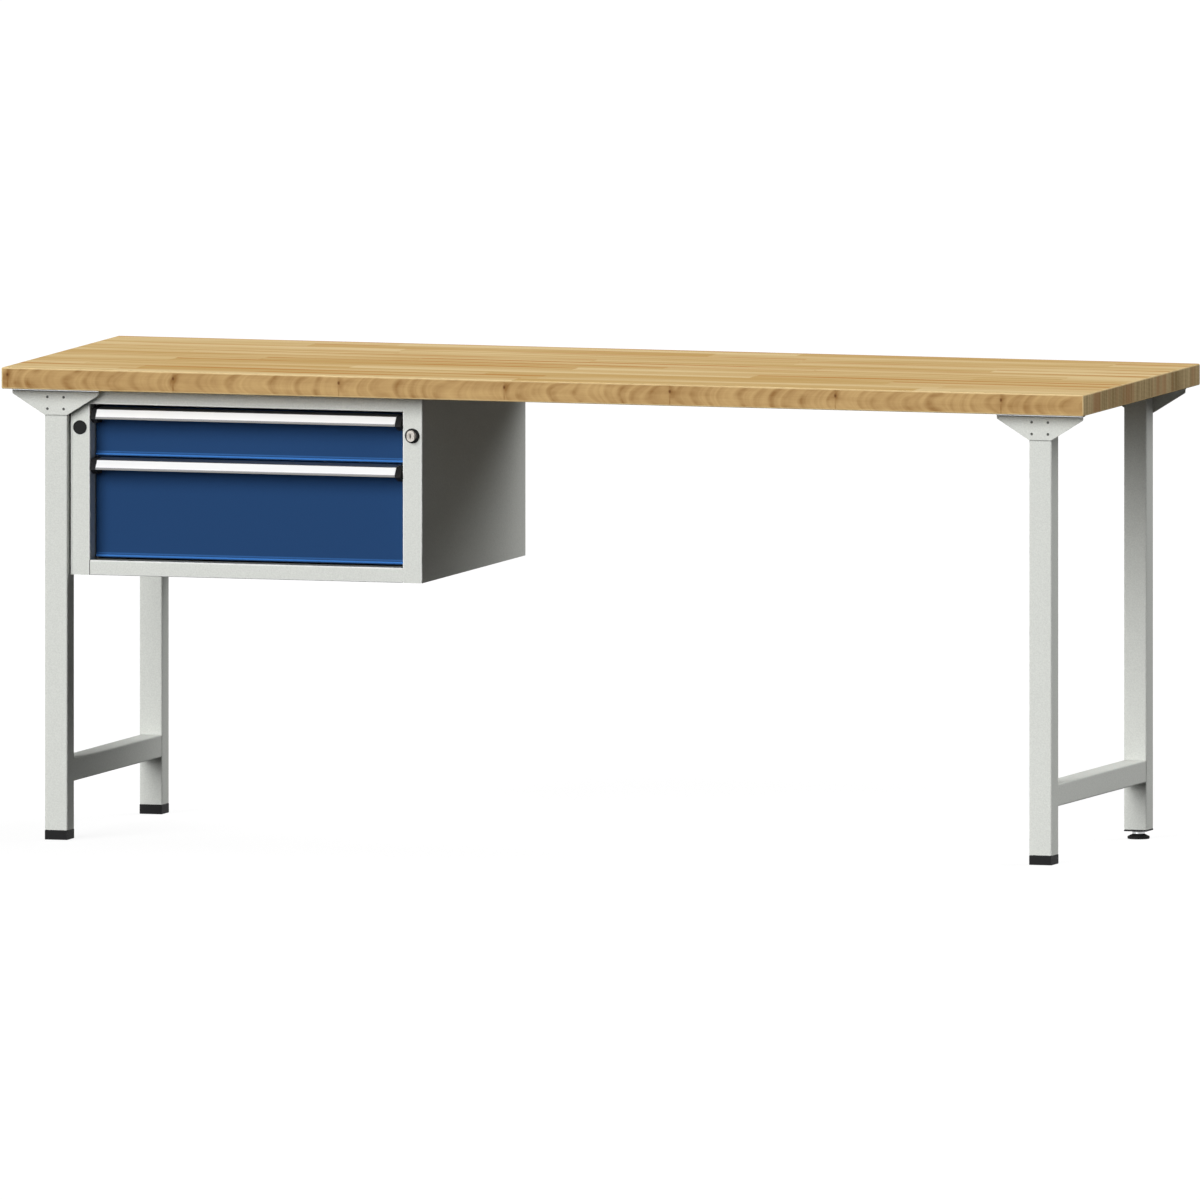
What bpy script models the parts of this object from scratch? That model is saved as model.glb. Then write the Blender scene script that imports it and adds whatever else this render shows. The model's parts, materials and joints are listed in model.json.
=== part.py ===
"""Workbench with a solid beech top, two tube end frames and a two-drawer cabinet hung under the top's left end.

Metres, +Z up. X runs along the bench, its front faces -Y, and the origin is on the floor under the top's middle.
"""

import math

import bmesh
import bpy
from mathutils import Matrix, Vector

# Worktop
worktop_length = 2.000
worktop_depth = 0.700
worktop_thickness = 0.038
worktop_edge_radius = 0.0025
worktop_underside = 0.800

# End frames: square tube legs, one cross-bar each
leg_width = 0.042
tube_wall = 0.002
tube_corner = 0.003
leg_end_inset = 0.0695
front_leg_setback = 0.035
rear_leg_setback = 0.055
crossbar_size = 0.040
crossbar_underside = 0.101

# Brackets between the legs and the worktop
bracket_length = 0.160
bracket_drop = 0.0465
bracket_land = 0.0085
bracket_land_radius = 0.003
bracket_plate = 0.003
bracket_flange = 0.0035
bracket_flange_lip = 0.0017
bracket_flange_overhang = 0.0005
bracket_flange_depth = 0.0155
bracket_screw_radius = 0.0026
bracket_screw_spacing = 0.120
bracket_screw_setback = 0.0096
weld_mark_radius = 0.0025
weld_mark_depth = 0.001
weld_mark_spacing = 0.030
weld_mark_drops = (0.015, 0.036)

# Feet
foot_cap_height = 0.017
foot_cap_edge = 0.001
foot_plug_height = 0.026
foot_plug_wall = 0.0025
leveller_plate = 0.003
glide_radius = 0.0197
glide_height = 0.008
glide_edge_height = 0.0045
glide_chamfer = 0.0008
glide_land = 0.001
collar_radius = 0.01125
collar_chamfer = 0.001
stud_radius = 0.005
stud_height = 0.034
glide_socket_depth = 0.005

# Drawer cabinet, folded from sheet
sheet = 0.0015
fold_radius = 0.0008
cabinet_width = 0.650
cabinet_depth = 0.620
cabinet_setback = 0.012
cabinet_leg_gap = 0.0018
flange_width = 0.036
flange_return = 0.035
top_rail_height = 0.0267
bottom_rail_height = 0.0265
fitting_height_drop = 0.0687
hole_plug_radius = 0.0125
hole_plug_head = 0.0015
hole_plug_chamfer = 0.0008
hole_plug_hole = 0.011
hole_plug_wall = 0.0015
hole_plug_depth = 0.008
hole_plug_inset = 0.0178

# Drawers, from the top one down
front_heights = (0.087, 0.177)
front_recess = 0.033
front_depth = 0.015
front_sheet = 0.0015
front_side_gap = 0.002
front_top_gap = 0.006
front_between_gap = 0.003
front_bottom_gap = 0.0035
front_foot_steps = ((0.0, 0.0080), (0.0014, 0.0057), (0.0014, 0.0042), (0.0034, 0.0016))
tray_depth = 0.565
tray_sheet = 0.0015
tray_corner = 0.002
tray_lift = 0.006
tray_under_front_top = 0.015

# Handle strips, an extruded section across each drawer front
handle_wall = 0.0024
handle_fold_radius = 0.0006
handle_reach = 0.041
handle_web_reach = 0.029
handle_web_fall = 0.0024
handle_slope_fall = 0.0159
handle_lip_fall = 0.0197
handle_leg = 0.0225
handle_cap_width = 0.0104
handle_cap_chin = 0.021
handle_cap_drop = 0.0283

# Telescopic drawer slides and the posts that carry them
slide_length = 0.540
slide_height = 0.0457
slide_depth = 0.0127
slide_sheet = 0.0012
slide_fold_radius = 0.0008
slide_ball_gap = 0.0024
slide_lip_gap = 0.0004
slide_middle_web = 0.003
slide_inner_gap = 0.0012
slide_lip = 0.011
slide_centre_lift = 0.022
slide_front_gap = 0.0065
slide_opening_gap = 0.0012
post_width = 0.030
post_setback = 0.0577
rear_post_setback = 0.552

# Cylinder lock, its crank and the bar that locks both drawers
lock_inset = 0.018
lock_head_radius = 0.013
lock_head_height = 0.004
lock_head_chamfer = 0.0015
lock_sleeve_radius = 0.011
lock_sleeve_depth = 0.012
lock_barrel_radius = 0.0087
lock_barrel_depth = 0.031
lock_nose_width = 0.0140
lock_nose_height = 0.0198
lock_nose_reach = 0.0066
lock_core_radius = 0.0054
lock_nut_flats = 0.026
lock_nut_thickness = 0.005
key_slot_width = 0.0022
key_slot_height = 0.0078
key_slot_depth = 0.012
tang_size = 0.006
tang_length = 0.0045
cam_thickness = 0.003
cam_hub_radius = 0.0065
crank_radius = 0.008
crank_pin_radius = 0.0025
crank_eye_wall = 0.002
crank_start_angle = math.radians(135)
crank_sweep = math.radians(90)
crank_slot_gap = 0.00045
bar_thickness = 0.003
bar_width = 0.0174
bar_wall_gap = 0.002
bar_guide_radius = 0.003
bar_guide_reach = 0.00125
bar_guide_drops = (0.032, 0.064)
bar_end_margin = 0.006
nose_height = 0.008
nose_reach = 0.0085
nose_clearance = 0.002
catch_height = 0.012
catch_length = 0.020
catch_sheet = 0.002
catch_under_tray_top = 0.008
catch_gap_to_bar = 0.004

# Clearances, and how far a cutter passes a face or a joined shape sinks into its neighbour
seat = 0.0003
running = 0.0003
cut_margin = 0.001
join_depth = 0.001
weld_distance = 0.00001

# Round shapes
mark_steps = 12
pin_steps = 16
round_steps = 28
fine_round_steps = 36
corner_steps = 3

# Heights and places that follow from the sizes above
underside = worktop_underside
front_edge = -worktop_depth / 2
leg_x = worktop_length / 2 - leg_end_inset - leg_width / 2
front_leg_y = front_edge + front_leg_setback + leg_width / 2
rear_leg_y = worktop_depth / 2 - rear_leg_setback - leg_width / 2
leg_bottom = foot_cap_height + seat
leg_top = underside - seat - bracket_flange - seat

cabinet_left = -leg_x + leg_width / 2 + cabinet_leg_gap
cabinet_right = cabinet_left + cabinet_width
cabinet_front = front_leg_y - leg_width / 2 + cabinet_setback
cabinet_rear = cabinet_front + cabinet_depth
cabinet_top = underside - seat
cabinet_height = (
    top_rail_height
    + front_top_gap
    + sum(front_heights)
    + front_between_gap * (len(front_heights) - 1)
    + front_bottom_gap
    + bottom_rail_height
)
cabinet_bottom = cabinet_top - cabinet_height
opening_left = cabinet_left + flange_width
opening_right = cabinet_right - flange_width
fitting_height = underside - fitting_height_drop

front_plane = cabinet_front + front_recess
front_back = front_plane + front_depth
front_left = opening_left + front_side_gap
front_right = opening_right - front_side_gap
slide_start = front_back + slide_front_gap
# Moving slide members pass the flange return with slide_opening_gap to spare.
slide_web_inset = slide_middle_web - slide_opening_gap
tray_left = opening_left - slide_web_inset + slide_depth + seat
tray_right = opening_right + slide_web_inset - slide_depth - seat
tray_front = front_plane + front_sheet + seat

lock_x = cabinet_right - lock_inset
crank_end_angle = crank_start_angle + crank_sweep
crank_height = crank_radius * math.sin(crank_start_angle)
bar_travel = crank_height - crank_radius * math.sin(crank_end_angle)
bar_left = opening_right + slide_web_inset + bar_wall_gap
post_front = cabinet_front + post_setback
bar_back = post_front - seat
bar_front = bar_back - bar_thickness

colours = {
    "grey_paint": ((0.665, 0.680, 0.645), 0.48, 0.0),
    "blue_paint": ((0.018, 0.060, 0.158), 0.42, 0.0),
    "beech": ((0.640, 0.460, 0.215), 0.50, 0.0),
    "aluminium": ((0.880, 0.880, 0.885), 0.32, 0.9),
    "zinc_steel": ((0.560, 0.565, 0.575), 0.38, 1.0),
    "nickel": ((0.720, 0.700, 0.660), 0.25, 1.0),
    "black_plastic": ((0.030, 0.030, 0.031), 0.50, 0.0),
}


def clear_scene():
    for old in list(bpy.data.objects):
        bpy.data.objects.remove(old)


def make_collection(name):
    group = bpy.data.collections.new(name)
    bpy.context.scene.collection.children.link(group)
    return group


def make_materials():
    made = {}
    for name, (colour, roughness, metallic) in colours.items():
        material = bpy.data.materials.new(name)
        material.use_nodes = True
        shader = material.node_tree.nodes["Principled BSDF"]
        shader.inputs["Base Color"].default_value = (*colour, 1)
        shader.inputs["Roughness"].default_value = roughness
        shader.inputs["Metallic"].default_value = metallic
        made[name] = material
    return made


clear_scene()
parts = make_collection("workbench")
cutters = make_collection("cutters")
materials = make_materials()


def body_frame(name, location):
    """An empty that stands for one moving body, on its joint's axis."""
    empty = bpy.data.objects.new(name, None)
    empty.location = location
    empty.empty_display_size = 0.05
    parts.objects.link(empty)
    return empty


def finish(piece, name, finish_name, carrier=None):
    """Names a piece, gives it its material and hangs it on the body that carries it."""
    piece.name = name
    piece.data.name = name
    piece.data.materials.clear()
    piece.data.materials.append(materials[finish_name])
    if carrier is not None:
        piece.parent = carrier
        piece.location = piece.location - carrier.location
    return piece


def link_to(group, piece):
    for holder in list(piece.users_collection):
        holder.objects.unlink(piece)
    group.objects.link(piece)
    return piece


def block(low, high):
    """A box between two corners, from the cube primitive."""
    low, high = Vector(low), Vector(high)
    bpy.ops.mesh.primitive_cube_add(size=1)
    piece = link_to(parts, bpy.context.active_object)
    piece.data.transform(Matrix.Diagonal((*(high - low), 1)))
    piece.location = (low + high) / 2
    return piece


def rod(centre, radius, length, axis, steps=round_steps):
    """A round bar about its centre, along X, Y or Z."""
    bpy.ops.mesh.primitive_cylinder_add(radius=radius, depth=length, vertices=steps)
    piece = link_to(parts, bpy.context.active_object)
    turns = {"X": Matrix.Rotation(math.pi / 2, 4, "Y"), "Y": Matrix.Rotation(math.pi / 2, 4, "X")}
    piece.data.transform(turns.get(axis, Matrix.Identity(4)))
    piece.location = centre
    return piece


def extrusion(outlines, start, end, plane, origin=(0, 0, 0)):
    """A prism from flat outlines. Its outline lies in the plane, and it runs from start to end along the third axis."""
    curve = bpy.data.curves.new("outline", "CURVE")
    curve.dimensions = "2D"
    curve.fill_mode = "BOTH"
    curve.extrude = (end - start) / 2
    for outline in outlines:
        ends = zip(outline, outline[-1:] + outline[:-1])
        corners = [point for point, last in ends if math.dist(point, last) > weld_distance]
        spline = curve.splines.new("POLY")
        spline.points.add(len(corners) - 1)
        for point, (u, v) in zip(spline.points, corners):
            point.co = (u, v, 0, 1)
        spline.use_cyclic_u = True
    flat = bpy.data.objects.new("outline", curve)
    parts.objects.link(flat)
    middle = (start + end) / 2
    if plane == "XY":
        turn, offset = Matrix.Identity(4), Vector((0, 0, middle))
    elif plane == "XZ":
        turn, offset = Matrix.Rotation(math.pi / 2, 4, "X"), Vector((0, middle, 0))
    else:
        turn = Matrix.Rotation(math.pi / 2, 4, "Z") @ Matrix.Rotation(math.pi / 2, 4, "X")
        offset = Vector((middle, 0, 0))
    flat.matrix_world = Matrix.Translation(Vector(origin) + offset) @ turn
    bpy.context.view_layer.update()
    graph = bpy.context.evaluated_depsgraph_get()
    mesh = bpy.data.meshes.new_from_object(flat.evaluated_get(graph))
    work = bmesh.new()
    work.from_mesh(mesh)
    bmesh.ops.remove_doubles(work, verts=work.verts, dist=weld_distance)
    bmesh.ops.recalc_face_normals(work, faces=work.faces)
    work.to_mesh(mesh)
    work.free()
    piece = bpy.data.objects.new("extrusion", mesh)
    piece.matrix_world = flat.matrix_world.copy()
    parts.objects.link(piece)
    bpy.data.objects.remove(flat)
    # The turn goes into the mesh, so that a piece only has a place.
    mesh.transform(turn)
    piece.matrix_world = Matrix.Translation(Vector(origin) + offset)
    return piece


def turned(profile, location, axis="Z", steps=round_steps, closed=False):
    """A turned piece. The profile is (radius, height) points down its outer side; axis -Y turns its top to the front."""
    mesh = bpy.data.meshes.new("turned")
    points = [(radius, 0, height) for radius, height in profile]
    edges = [(i, i + 1) for i in range(len(points) - 1)]
    if closed:
        edges.append((len(points) - 1, 0))
    mesh.from_pydata(points, edges, [])
    piece = bpy.data.objects.new("turned", mesh)
    parts.objects.link(piece)
    screw = piece.modifiers.new("Screw", "SCREW")
    screw.steps = steps
    screw.render_steps = steps
    screw.use_merge_vertices = True
    screw.merge_threshold = weld_distance
    screw.use_normal_calculate = True
    graph = bpy.context.evaluated_depsgraph_get()
    solid = bpy.data.meshes.new_from_object(piece.evaluated_get(graph))
    piece.modifiers.clear()
    work = bmesh.new()
    work.from_mesh(solid)
    bmesh.ops.remove_doubles(work, verts=work.verts, dist=weld_distance)
    bmesh.ops.recalc_face_normals(work, faces=work.faces)
    work.to_mesh(solid)
    work.free()
    if axis == "-Y":
        solid.transform(Matrix.Rotation(math.pi / 2, 4, "X"))
    solid.shade_smooth()
    solid.set_sharp_from_angle(angle=math.radians(35))
    piece.data = solid
    piece.location = location
    return piece


def soften(piece, width, segments=2, angle=math.radians(50)):
    bevel = piece.modifiers.new("Bevel", "BEVEL")
    bevel.width = width
    bevel.segments = segments
    bevel.limit_method = "ANGLE"
    bevel.angle_limit = angle
    return piece


def combine(piece, other, operation):
    """Cuts other from a piece, or joins it on. The other shape stays as a hidden helper."""
    link_to(cutters, other)
    other.name = "cutter"
    other.hide_render = True
    other.display_type = "WIRE"
    boolean = piece.modifiers.new(operation.title(), "BOOLEAN")
    boolean.operation = operation
    boolean.solver = "EXACT"
    boolean.object = other
    return piece


def cut(piece, *others):
    for other in others:
        combine(piece, other, "DIFFERENCE")
    return piece


def join(piece, *others):
    for other in others:
        combine(piece, other, "UNION")
    return piece


def arc(centre, radius, start, end, steps):
    """Points along an arc, angles in radians."""
    angles = [start + (end - start) * i / steps for i in range(steps + 1)]
    return [(centre[0] + radius * math.cos(a), centre[1] + radius * math.sin(a)) for a in angles]


def circle(radius, steps, start=0.0):
    """A closed ring of points about the outline's origin."""
    return arc((0, 0), radius, start, start + 2 * math.pi * (steps - 1) / steps, steps - 1)


def rectangle(centre, width, height, radius=0.0, steps=corner_steps):
    """A rectangle outline with round corners."""
    u, v = centre
    if radius <= 0:
        half_width, half_height = width / 2, height / 2
        return [
            (u + half_width, v + half_height),
            (u - half_width, v + half_height),
            (u - half_width, v - half_height),
            (u + half_width, v - half_height),
        ]
    points = []
    for quarter, (side_u, side_v) in enumerate(((1, 1), (-1, 1), (-1, -1), (1, -1))):
        corner = (u + side_u * (width / 2 - radius), v + side_v * (height / 2 - radius))
        start = quarter * math.pi / 2
        points += arc(corner, radius, start, start + math.pi / 2, steps)
    return points


def slot(centre, width, height, steps=8):
    """A slot outline with half-round ends, along its longer side."""
    u, v = centre
    radius = min(width, height) / 2
    if width > height:
        reach = width / 2 - radius
        right = arc((u + reach, v), radius, -math.pi / 2, math.pi / 2, steps)
        return right + arc((u - reach, v), radius, math.pi / 2, 3 * math.pi / 2, steps)
    reach = height / 2 - radius
    top = arc((u, v + reach), radius, 0, math.pi, steps)
    return top + arc((u, v - reach), radius, math.pi, 2 * math.pi, steps)


def folded(path, thickness, radius, steps=corner_steps):
    """The outline of a sheet folded along a centre line, with round folds. It returns one closed outline."""
    centre_radius = radius + thickness / 2
    line = [(Vector(path[0]), (Vector(path[1]) - Vector(path[0])).normalized())]
    for before, corner, after in zip(path, path[1:], path[2:]):
        corner = Vector(corner)
        back = (corner - Vector(before)).normalized()
        ahead = (Vector(after) - corner).normalized()
        turn = back.x * ahead.y - back.y * ahead.x
        angle = math.acos(max(-1.0, min(1.0, back.dot(ahead))))
        run = centre_radius * math.tan(angle / 2)
        side = 1 if turn > 0 else -1
        normal = Vector((-back.y, back.x)) * side
        pivot = corner - back * run + normal * centre_radius
        for step in range(steps + 1):
            swing = side * angle * step / steps
            arm = Matrix.Rotation(swing, 2) @ (-normal)
            line.append((pivot + arm * centre_radius, Matrix.Rotation(swing, 2) @ back))
    line.append((Vector(path[-1]), (Vector(path[-1]) - Vector(path[-2])).normalized()))
    left = [point + Vector((-ahead.y, ahead.x)) * thickness / 2 for point, ahead in line]
    right = [point - Vector((-ahead.y, ahead.x)) * thickness / 2 for point, ahead in line]
    return [tuple(point) for point in left + right[::-1]]


def worktop():
    low = (-worktop_length / 2, -worktop_depth / 2, underside)
    high = (worktop_length / 2, worktop_depth / 2, underside + worktop_thickness)
    top = soften(block(low, high), worktop_edge_radius, segments=3)
    return finish(top, "worktop", "beech")


def tube_outlines(width, height):
    outer = rectangle((0, 0), width, height, tube_corner)
    inner = rectangle((0, 0), width - 2 * tube_wall, height - 2 * tube_wall, tube_corner - tube_wall)
    return [outer, inner]


def leg(name, x, y):
    tube = extrusion(tube_outlines(leg_width, leg_width), leg_bottom, leg_top, "XY", (x, y, 0))
    return finish(tube, name, "grey_paint")


def crossbar(name, x):
    start = front_leg_y + leg_width / 2 + seat
    end = rear_leg_y - leg_width / 2 - seat
    height = crossbar_underside + crossbar_size / 2
    tube = extrusion(tube_outlines(crossbar_size, crossbar_size), start, end, "XZ", (x, 0, height))
    return finish(tube, name, "grey_paint")


def bracket(name, x, y, outward, wings):
    """A T-shaped flange over the leg and a trapezoid plate on the leg's outer face.

    outward is -1 on a front leg and +1 on a rear one. wings are the reaches to the left and right of the leg's centre.
    """
    left, right = wings
    face = leg_width / 2 + seat
    plate_outer = face + bracket_plate
    land = underside - bracket_land
    foot = underside - bracket_drop
    top = underside - seat - bracket_flange / 2
    outline = []
    for side, reach in ((1, right - bracket_flange_overhang), (-1, left - bracket_flange_overhang)):
        if reach > leg_width / 2 + bracket_land_radius:
            slope = math.atan2(land - foot, reach - leg_width / 2)
            centre = (side * (reach - bracket_land_radius), land)
            ends = (0, slope - math.pi / 2) if side > 0 else (math.pi, 3 * math.pi / 2 - slope)
            corner = arc(centre, bracket_land_radius, ends[0], ends[1], corner_steps)
        else:
            corner = [(side * reach, land)]
        wing = [(side * reach, top)] + corner + [(side * leg_width / 2, foot)]
        outline += wing if side > 0 else wing[::-1]
    start, end = sorted((outward * face, outward * plate_outer))
    plate = extrusion([outline], y + start, y + end, "XZ", (x, 0, 0))

    lip = plate_outer + bracket_flange_lip
    low = underside - seat - bracket_flange
    high = underside - seat
    near, far = sorted((outward * (lip - bracket_flange_depth), outward * lip))
    flange = block((x - left, y + near, low), (x + right, y + far, high))
    near, far = sorted((outward * (lip - bracket_flange_depth / 2), -outward * leg_width / 2))
    tab = block((x - leg_width / 2, y + near, low), (x + leg_width / 2, y + far, high))
    join(flange, tab)
    piece = join(flange, plate)

    outer_face = y + outward * plate_outer
    for drop in weld_mark_drops:
        for side in (-1, 1):
            place = (x + side * weld_mark_spacing / 2, outer_face, underside - drop)
            cut(piece, rod(place, weld_mark_radius, 2 * weld_mark_depth, "Y", mark_steps))
    screw_y = y + outward * (lip - bracket_screw_setback)
    hole_length = bracket_flange + 2 * cut_margin
    for side, reach in ((-1, left), (1, right)):
        if reach > bracket_screw_spacing / 2:
            place = (x + side * bracket_screw_spacing / 2, screw_y, top)
            cut(piece, rod(place, bracket_screw_radius, hole_length, "Z", mark_steps))
    return finish(piece, name, "grey_paint")


def foot_plug(x, y):
    """The hollow square plug that holds a foot inside its tube."""
    size = leg_width - 2 * tube_wall - 2 * seat
    outer = rectangle((0, 0), size, size, tube_corner - tube_wall)
    inner = rectangle((0, 0), size - 2 * foot_plug_wall, size - 2 * foot_plug_wall)
    start = foot_cap_height - seat
    return extrusion([outer, inner], start, foot_cap_height + foot_plug_height, "XY", (x, y, 0))


def foot_cap(name, x, y):
    half = leg_width / 2
    cap = soften(block((x - half, y - half, 0), (x + half, y + half, foot_cap_height)), foot_cap_edge)
    return finish(join(cap, foot_plug(x, y)), name, "black_plastic")


def leveller(x, y, pad_body, spindle_body):
    """The adjustable foot: a plate and threaded insert in the leg, a collared stud and a glide."""
    half = leg_width / 2
    plate_bottom = foot_cap_height - leveller_plate
    plate = soften(block((x - half, y - half, plate_bottom), (x + half, y + half, foot_cap_height)), foot_cap_edge)
    insert_size = leg_width - 2 * tube_wall - 2 * seat
    outline = rectangle((0, 0), insert_size, insert_size, tube_corner - tube_wall)
    insert_top = foot_cap_height + foot_plug_height
    insert = extrusion([outline], foot_cap_height - seat, insert_top, "XY", (x, y, 0))
    join(plate, insert)
    bore_length = insert_top - plate_bottom + 2 * cut_margin
    middle = (plate_bottom + insert_top) / 2
    cut(plate, rod((x, y, middle), stud_radius + running, bore_length, "Z"))
    finish(plate, "rear_right_leg_insert", "black_plastic")

    socket_floor = glide_height - glide_socket_depth
    bore = stud_radius + running
    glide = turned(
        [
            (0, socket_floor),
            (bore, socket_floor),
            (bore, glide_height),
            (collar_radius + glide_land, glide_height),
            (glide_radius, glide_edge_height),
            (glide_radius, glide_chamfer),
            (glide_radius - glide_chamfer, 0),
            (0, 0),
        ],
        (x, y, 0),
        steps=fine_round_steps,
    )
    finish(glide, "leveller_glide", "black_plastic", pad_body)

    collar_top = plate_bottom - seat
    collar_bottom = glide_height + seat
    stud_end = socket_floor + seat
    stud_top = collar_top + stud_height
    spindle = turned(
        [
            (0, stud_top),
            (stud_radius - collar_chamfer, stud_top),
            (stud_radius, stud_top - collar_chamfer),
            (stud_radius, collar_top),
            (collar_radius - collar_chamfer, collar_top),
            (collar_radius, collar_top - collar_chamfer),
            (collar_radius, collar_bottom + collar_chamfer),
            (collar_radius - collar_chamfer, collar_bottom),
            (stud_radius, collar_bottom),
            (stud_radius, stud_end),
            (0, stud_end),
        ],
        (x, y, 0),
        steps=fine_round_steps,
    )
    finish(spindle, "leveller_spindle", "zinc_steel", spindle_body)


def cabinet_side(side):
    """Side wall, front flange and flange return, one folded sheet. side is -1 on the left, +1 on the right."""
    wall = cabinet_left if side < 0 else cabinet_right
    half = sheet / 2
    outer = wall - side * half
    inner = wall - side * (flange_width - half)
    front = cabinet_front + half
    path = [
        (outer, cabinet_rear),
        (outer, front),
        (inner, front),
        (inner, cabinet_front + flange_return),
    ]
    outline = folded(path, sheet, fold_radius)
    return extrusion([outline], cabinet_bottom, cabinet_top, "XY")


def cabinet_deck(name, upward):
    """Top or bottom panel with its front rail and rail return. upward is +1 for the top."""
    half = sheet / 2
    level = cabinet_top - half if upward > 0 else cabinet_bottom + half
    rail = top_rail_height if upward > 0 else bottom_rail_height
    return_level = level - upward * (rail - sheet)
    path = [
        (cabinet_rear, level),
        (cabinet_front + half, level),
        (cabinet_front + half, return_level),
        (cabinet_front + flange_return, return_level),
    ]
    left = cabinet_left + sheet + seat
    right = cabinet_right - sheet - seat
    deck = extrusion([folded(path, sheet, fold_radius)], left, right, "YZ")
    notch_front = cabinet_front - cut_margin
    notch_back = cabinet_front + flange_return + seat
    low = cabinet_bottom - cut_margin
    high = cabinet_top + cut_margin
    cut(deck, block((left - cut_margin, notch_front, low), (opening_left + seat, notch_back, high)))
    cut(deck, block((opening_right - seat, notch_front, low), (right + cut_margin, notch_back, high)))
    return finish(deck, name, "grey_paint")


def cabinet():
    hole_length = 2 * (sheet + cut_margin)
    left = cabinet_side(-1)
    plug_x = cabinet_left + hole_plug_inset
    cut(left, rod((plug_x, cabinet_front, fitting_height), hole_plug_hole, hole_length, "Y"))
    finish(left, "cabinet_left_side", "grey_paint")

    right = cabinet_side(1)
    cut(right, rod((lock_x, cabinet_front, fitting_height), lock_sleeve_radius + seat, hole_length, "Y"))
    finish(right, "cabinet_right_side", "grey_paint")

    cabinet_deck("cabinet_top", 1)
    cabinet_deck("cabinet_bottom", -1)

    gap = sheet + seat
    low = (cabinet_left + gap, cabinet_rear - sheet, cabinet_bottom + gap)
    high = (cabinet_right - gap, cabinet_rear, cabinet_top - gap)
    back = block(low, high)
    return finish(back, "cabinet_back", "grey_paint")


def hole_plug():
    head = hole_plug_radius
    shank = hole_plug_hole - seat
    inner = shank - hole_plug_wall
    face = hole_plug_head + seat
    profile = [
        (0, face),
        (head - hole_plug_chamfer, face),
        (head, face - hole_plug_chamfer),
        (head, seat),
        (shank, seat),
        (shank, -hole_plug_depth),
        (inner, -hole_plug_depth),
        (inner, seat),
        (0, seat),
    ]
    plug = turned(profile, (cabinet_left + hole_plug_inset, cabinet_front, fitting_height), "-Y")
    return finish(plug, "flange_hole_plug", "black_plastic")


def lock(core_body):
    """Escutcheon and nut clamp the flange, the cylinder sits in the escutcheon, and the core turns the crank."""
    place = (lock_x, cabinet_front, fitting_height)
    head_front = seat + lock_head_height
    bore = lock_barrel_radius + seat
    escutcheon = turned(
        [
            (bore, head_front),
            (lock_head_radius - lock_head_chamfer, head_front),
            (lock_head_radius, head_front - lock_head_chamfer),
            (lock_head_radius, seat),
            (lock_sleeve_radius, seat),
            (lock_sleeve_radius, -lock_sleeve_depth),
            (bore, -lock_sleeve_depth),
        ],
        place,
        "-Y",
        fine_round_steps,
        closed=True,
    )
    finish(escutcheon, "lock_escutcheon", "black_plastic")

    nut_front = cabinet_front + sheet + seat
    hexagon = circle(lock_nut_flats / 2 / math.cos(math.pi / 6), 6, math.pi / 2)
    hole = circle(lock_sleeve_radius + seat, round_steps)
    nut = extrusion([hexagon, hole], nut_front, nut_front + lock_nut_thickness, "XZ", (lock_x, 0, fitting_height))
    finish(nut, "lock_nut", "zinc_steel")

    nose_back = cabinet_front - head_front - seat
    nose_front = nose_back - lock_nose_reach
    outline = slot((0, 0), lock_nose_width, lock_nose_height)
    cylinder = extrusion([outline], nose_front, nose_back, "XZ", (lock_x, 0, fitting_height))
    barrel_back = cabinet_front + lock_barrel_depth
    barrel_length = barrel_back - nose_back + join_depth
    barrel_middle = (lock_x, barrel_back - barrel_length / 2, fitting_height)
    join(cylinder, rod(barrel_middle, lock_barrel_radius, barrel_length, "Y"))
    core_length = barrel_back - nose_front
    core_middle = (nose_front + barrel_back) / 2
    core_place = (lock_x, core_middle, fitting_height)
    cut(cylinder, rod(core_place, lock_core_radius + running, core_length + 2 * cut_margin, "Y"))
    finish(cylinder, "lock_cylinder", "nickel")

    core = rod(core_place, lock_core_radius, core_length, "Y")
    tang_back = barrel_back + tang_length
    half = tang_size / 2
    tang_low = (lock_x - half, barrel_back - join_depth, fitting_height - half)
    tang = block(tang_low, (lock_x + half, tang_back, fitting_height + half))
    join(core, tang)
    key_front = nose_front - cut_margin
    key_low = (lock_x - key_slot_width / 2, key_front, fitting_height - key_slot_height / 2)
    key_high = (lock_x + key_slot_width / 2, nose_front + key_slot_depth, fitting_height + key_slot_height / 2)
    cut(core, block(key_low, key_high))
    finish(core, "lock_core", "nickel", core_body)

    cam_front = barrel_back + seat
    cam_back = cam_front + cam_thickness
    hub = rod((lock_x, (cam_front + cam_back) / 2, fitting_height), cam_hub_radius, cam_thickness, "Y")
    pin_x = lock_x + crank_radius * math.cos(crank_start_angle)
    pin_z = fitting_height + crank_height
    eye_radius = crank_pin_radius + crank_eye_wall
    eye = rod((pin_x, (cam_front + cam_back) / 2, pin_z), eye_radius, cam_thickness, "Y")
    pin_end = bar_back - seat
    pin_place = (pin_x, (cam_front + pin_end) / 2, pin_z)
    pin = rod(pin_place, crank_pin_radius, pin_end - cam_front, "Y", pin_steps)
    join(hub, eye, pin)
    hole_half = half + seat
    hole_low = (lock_x - hole_half, cam_front - cut_margin, fitting_height - hole_half)
    cut(hub, block(hole_low, (lock_x + hole_half, cam_back + cut_margin, fitting_height + hole_half)))
    finish(hub, "lock_cam", "zinc_steel", core_body)


def front_top(drawer):
    above = sum(front_heights[:drawer]) + front_between_gap * drawer
    return cabinet_top - top_rail_height - front_top_gap - above


def tray_bottom(drawer):
    return front_top(drawer) - front_heights[drawer] + tray_lift


def tray_top(drawer):
    return front_top(drawer) - tray_under_front_top


def catch_top(drawer):
    return tray_top(drawer) - catch_under_tray_top


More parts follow.
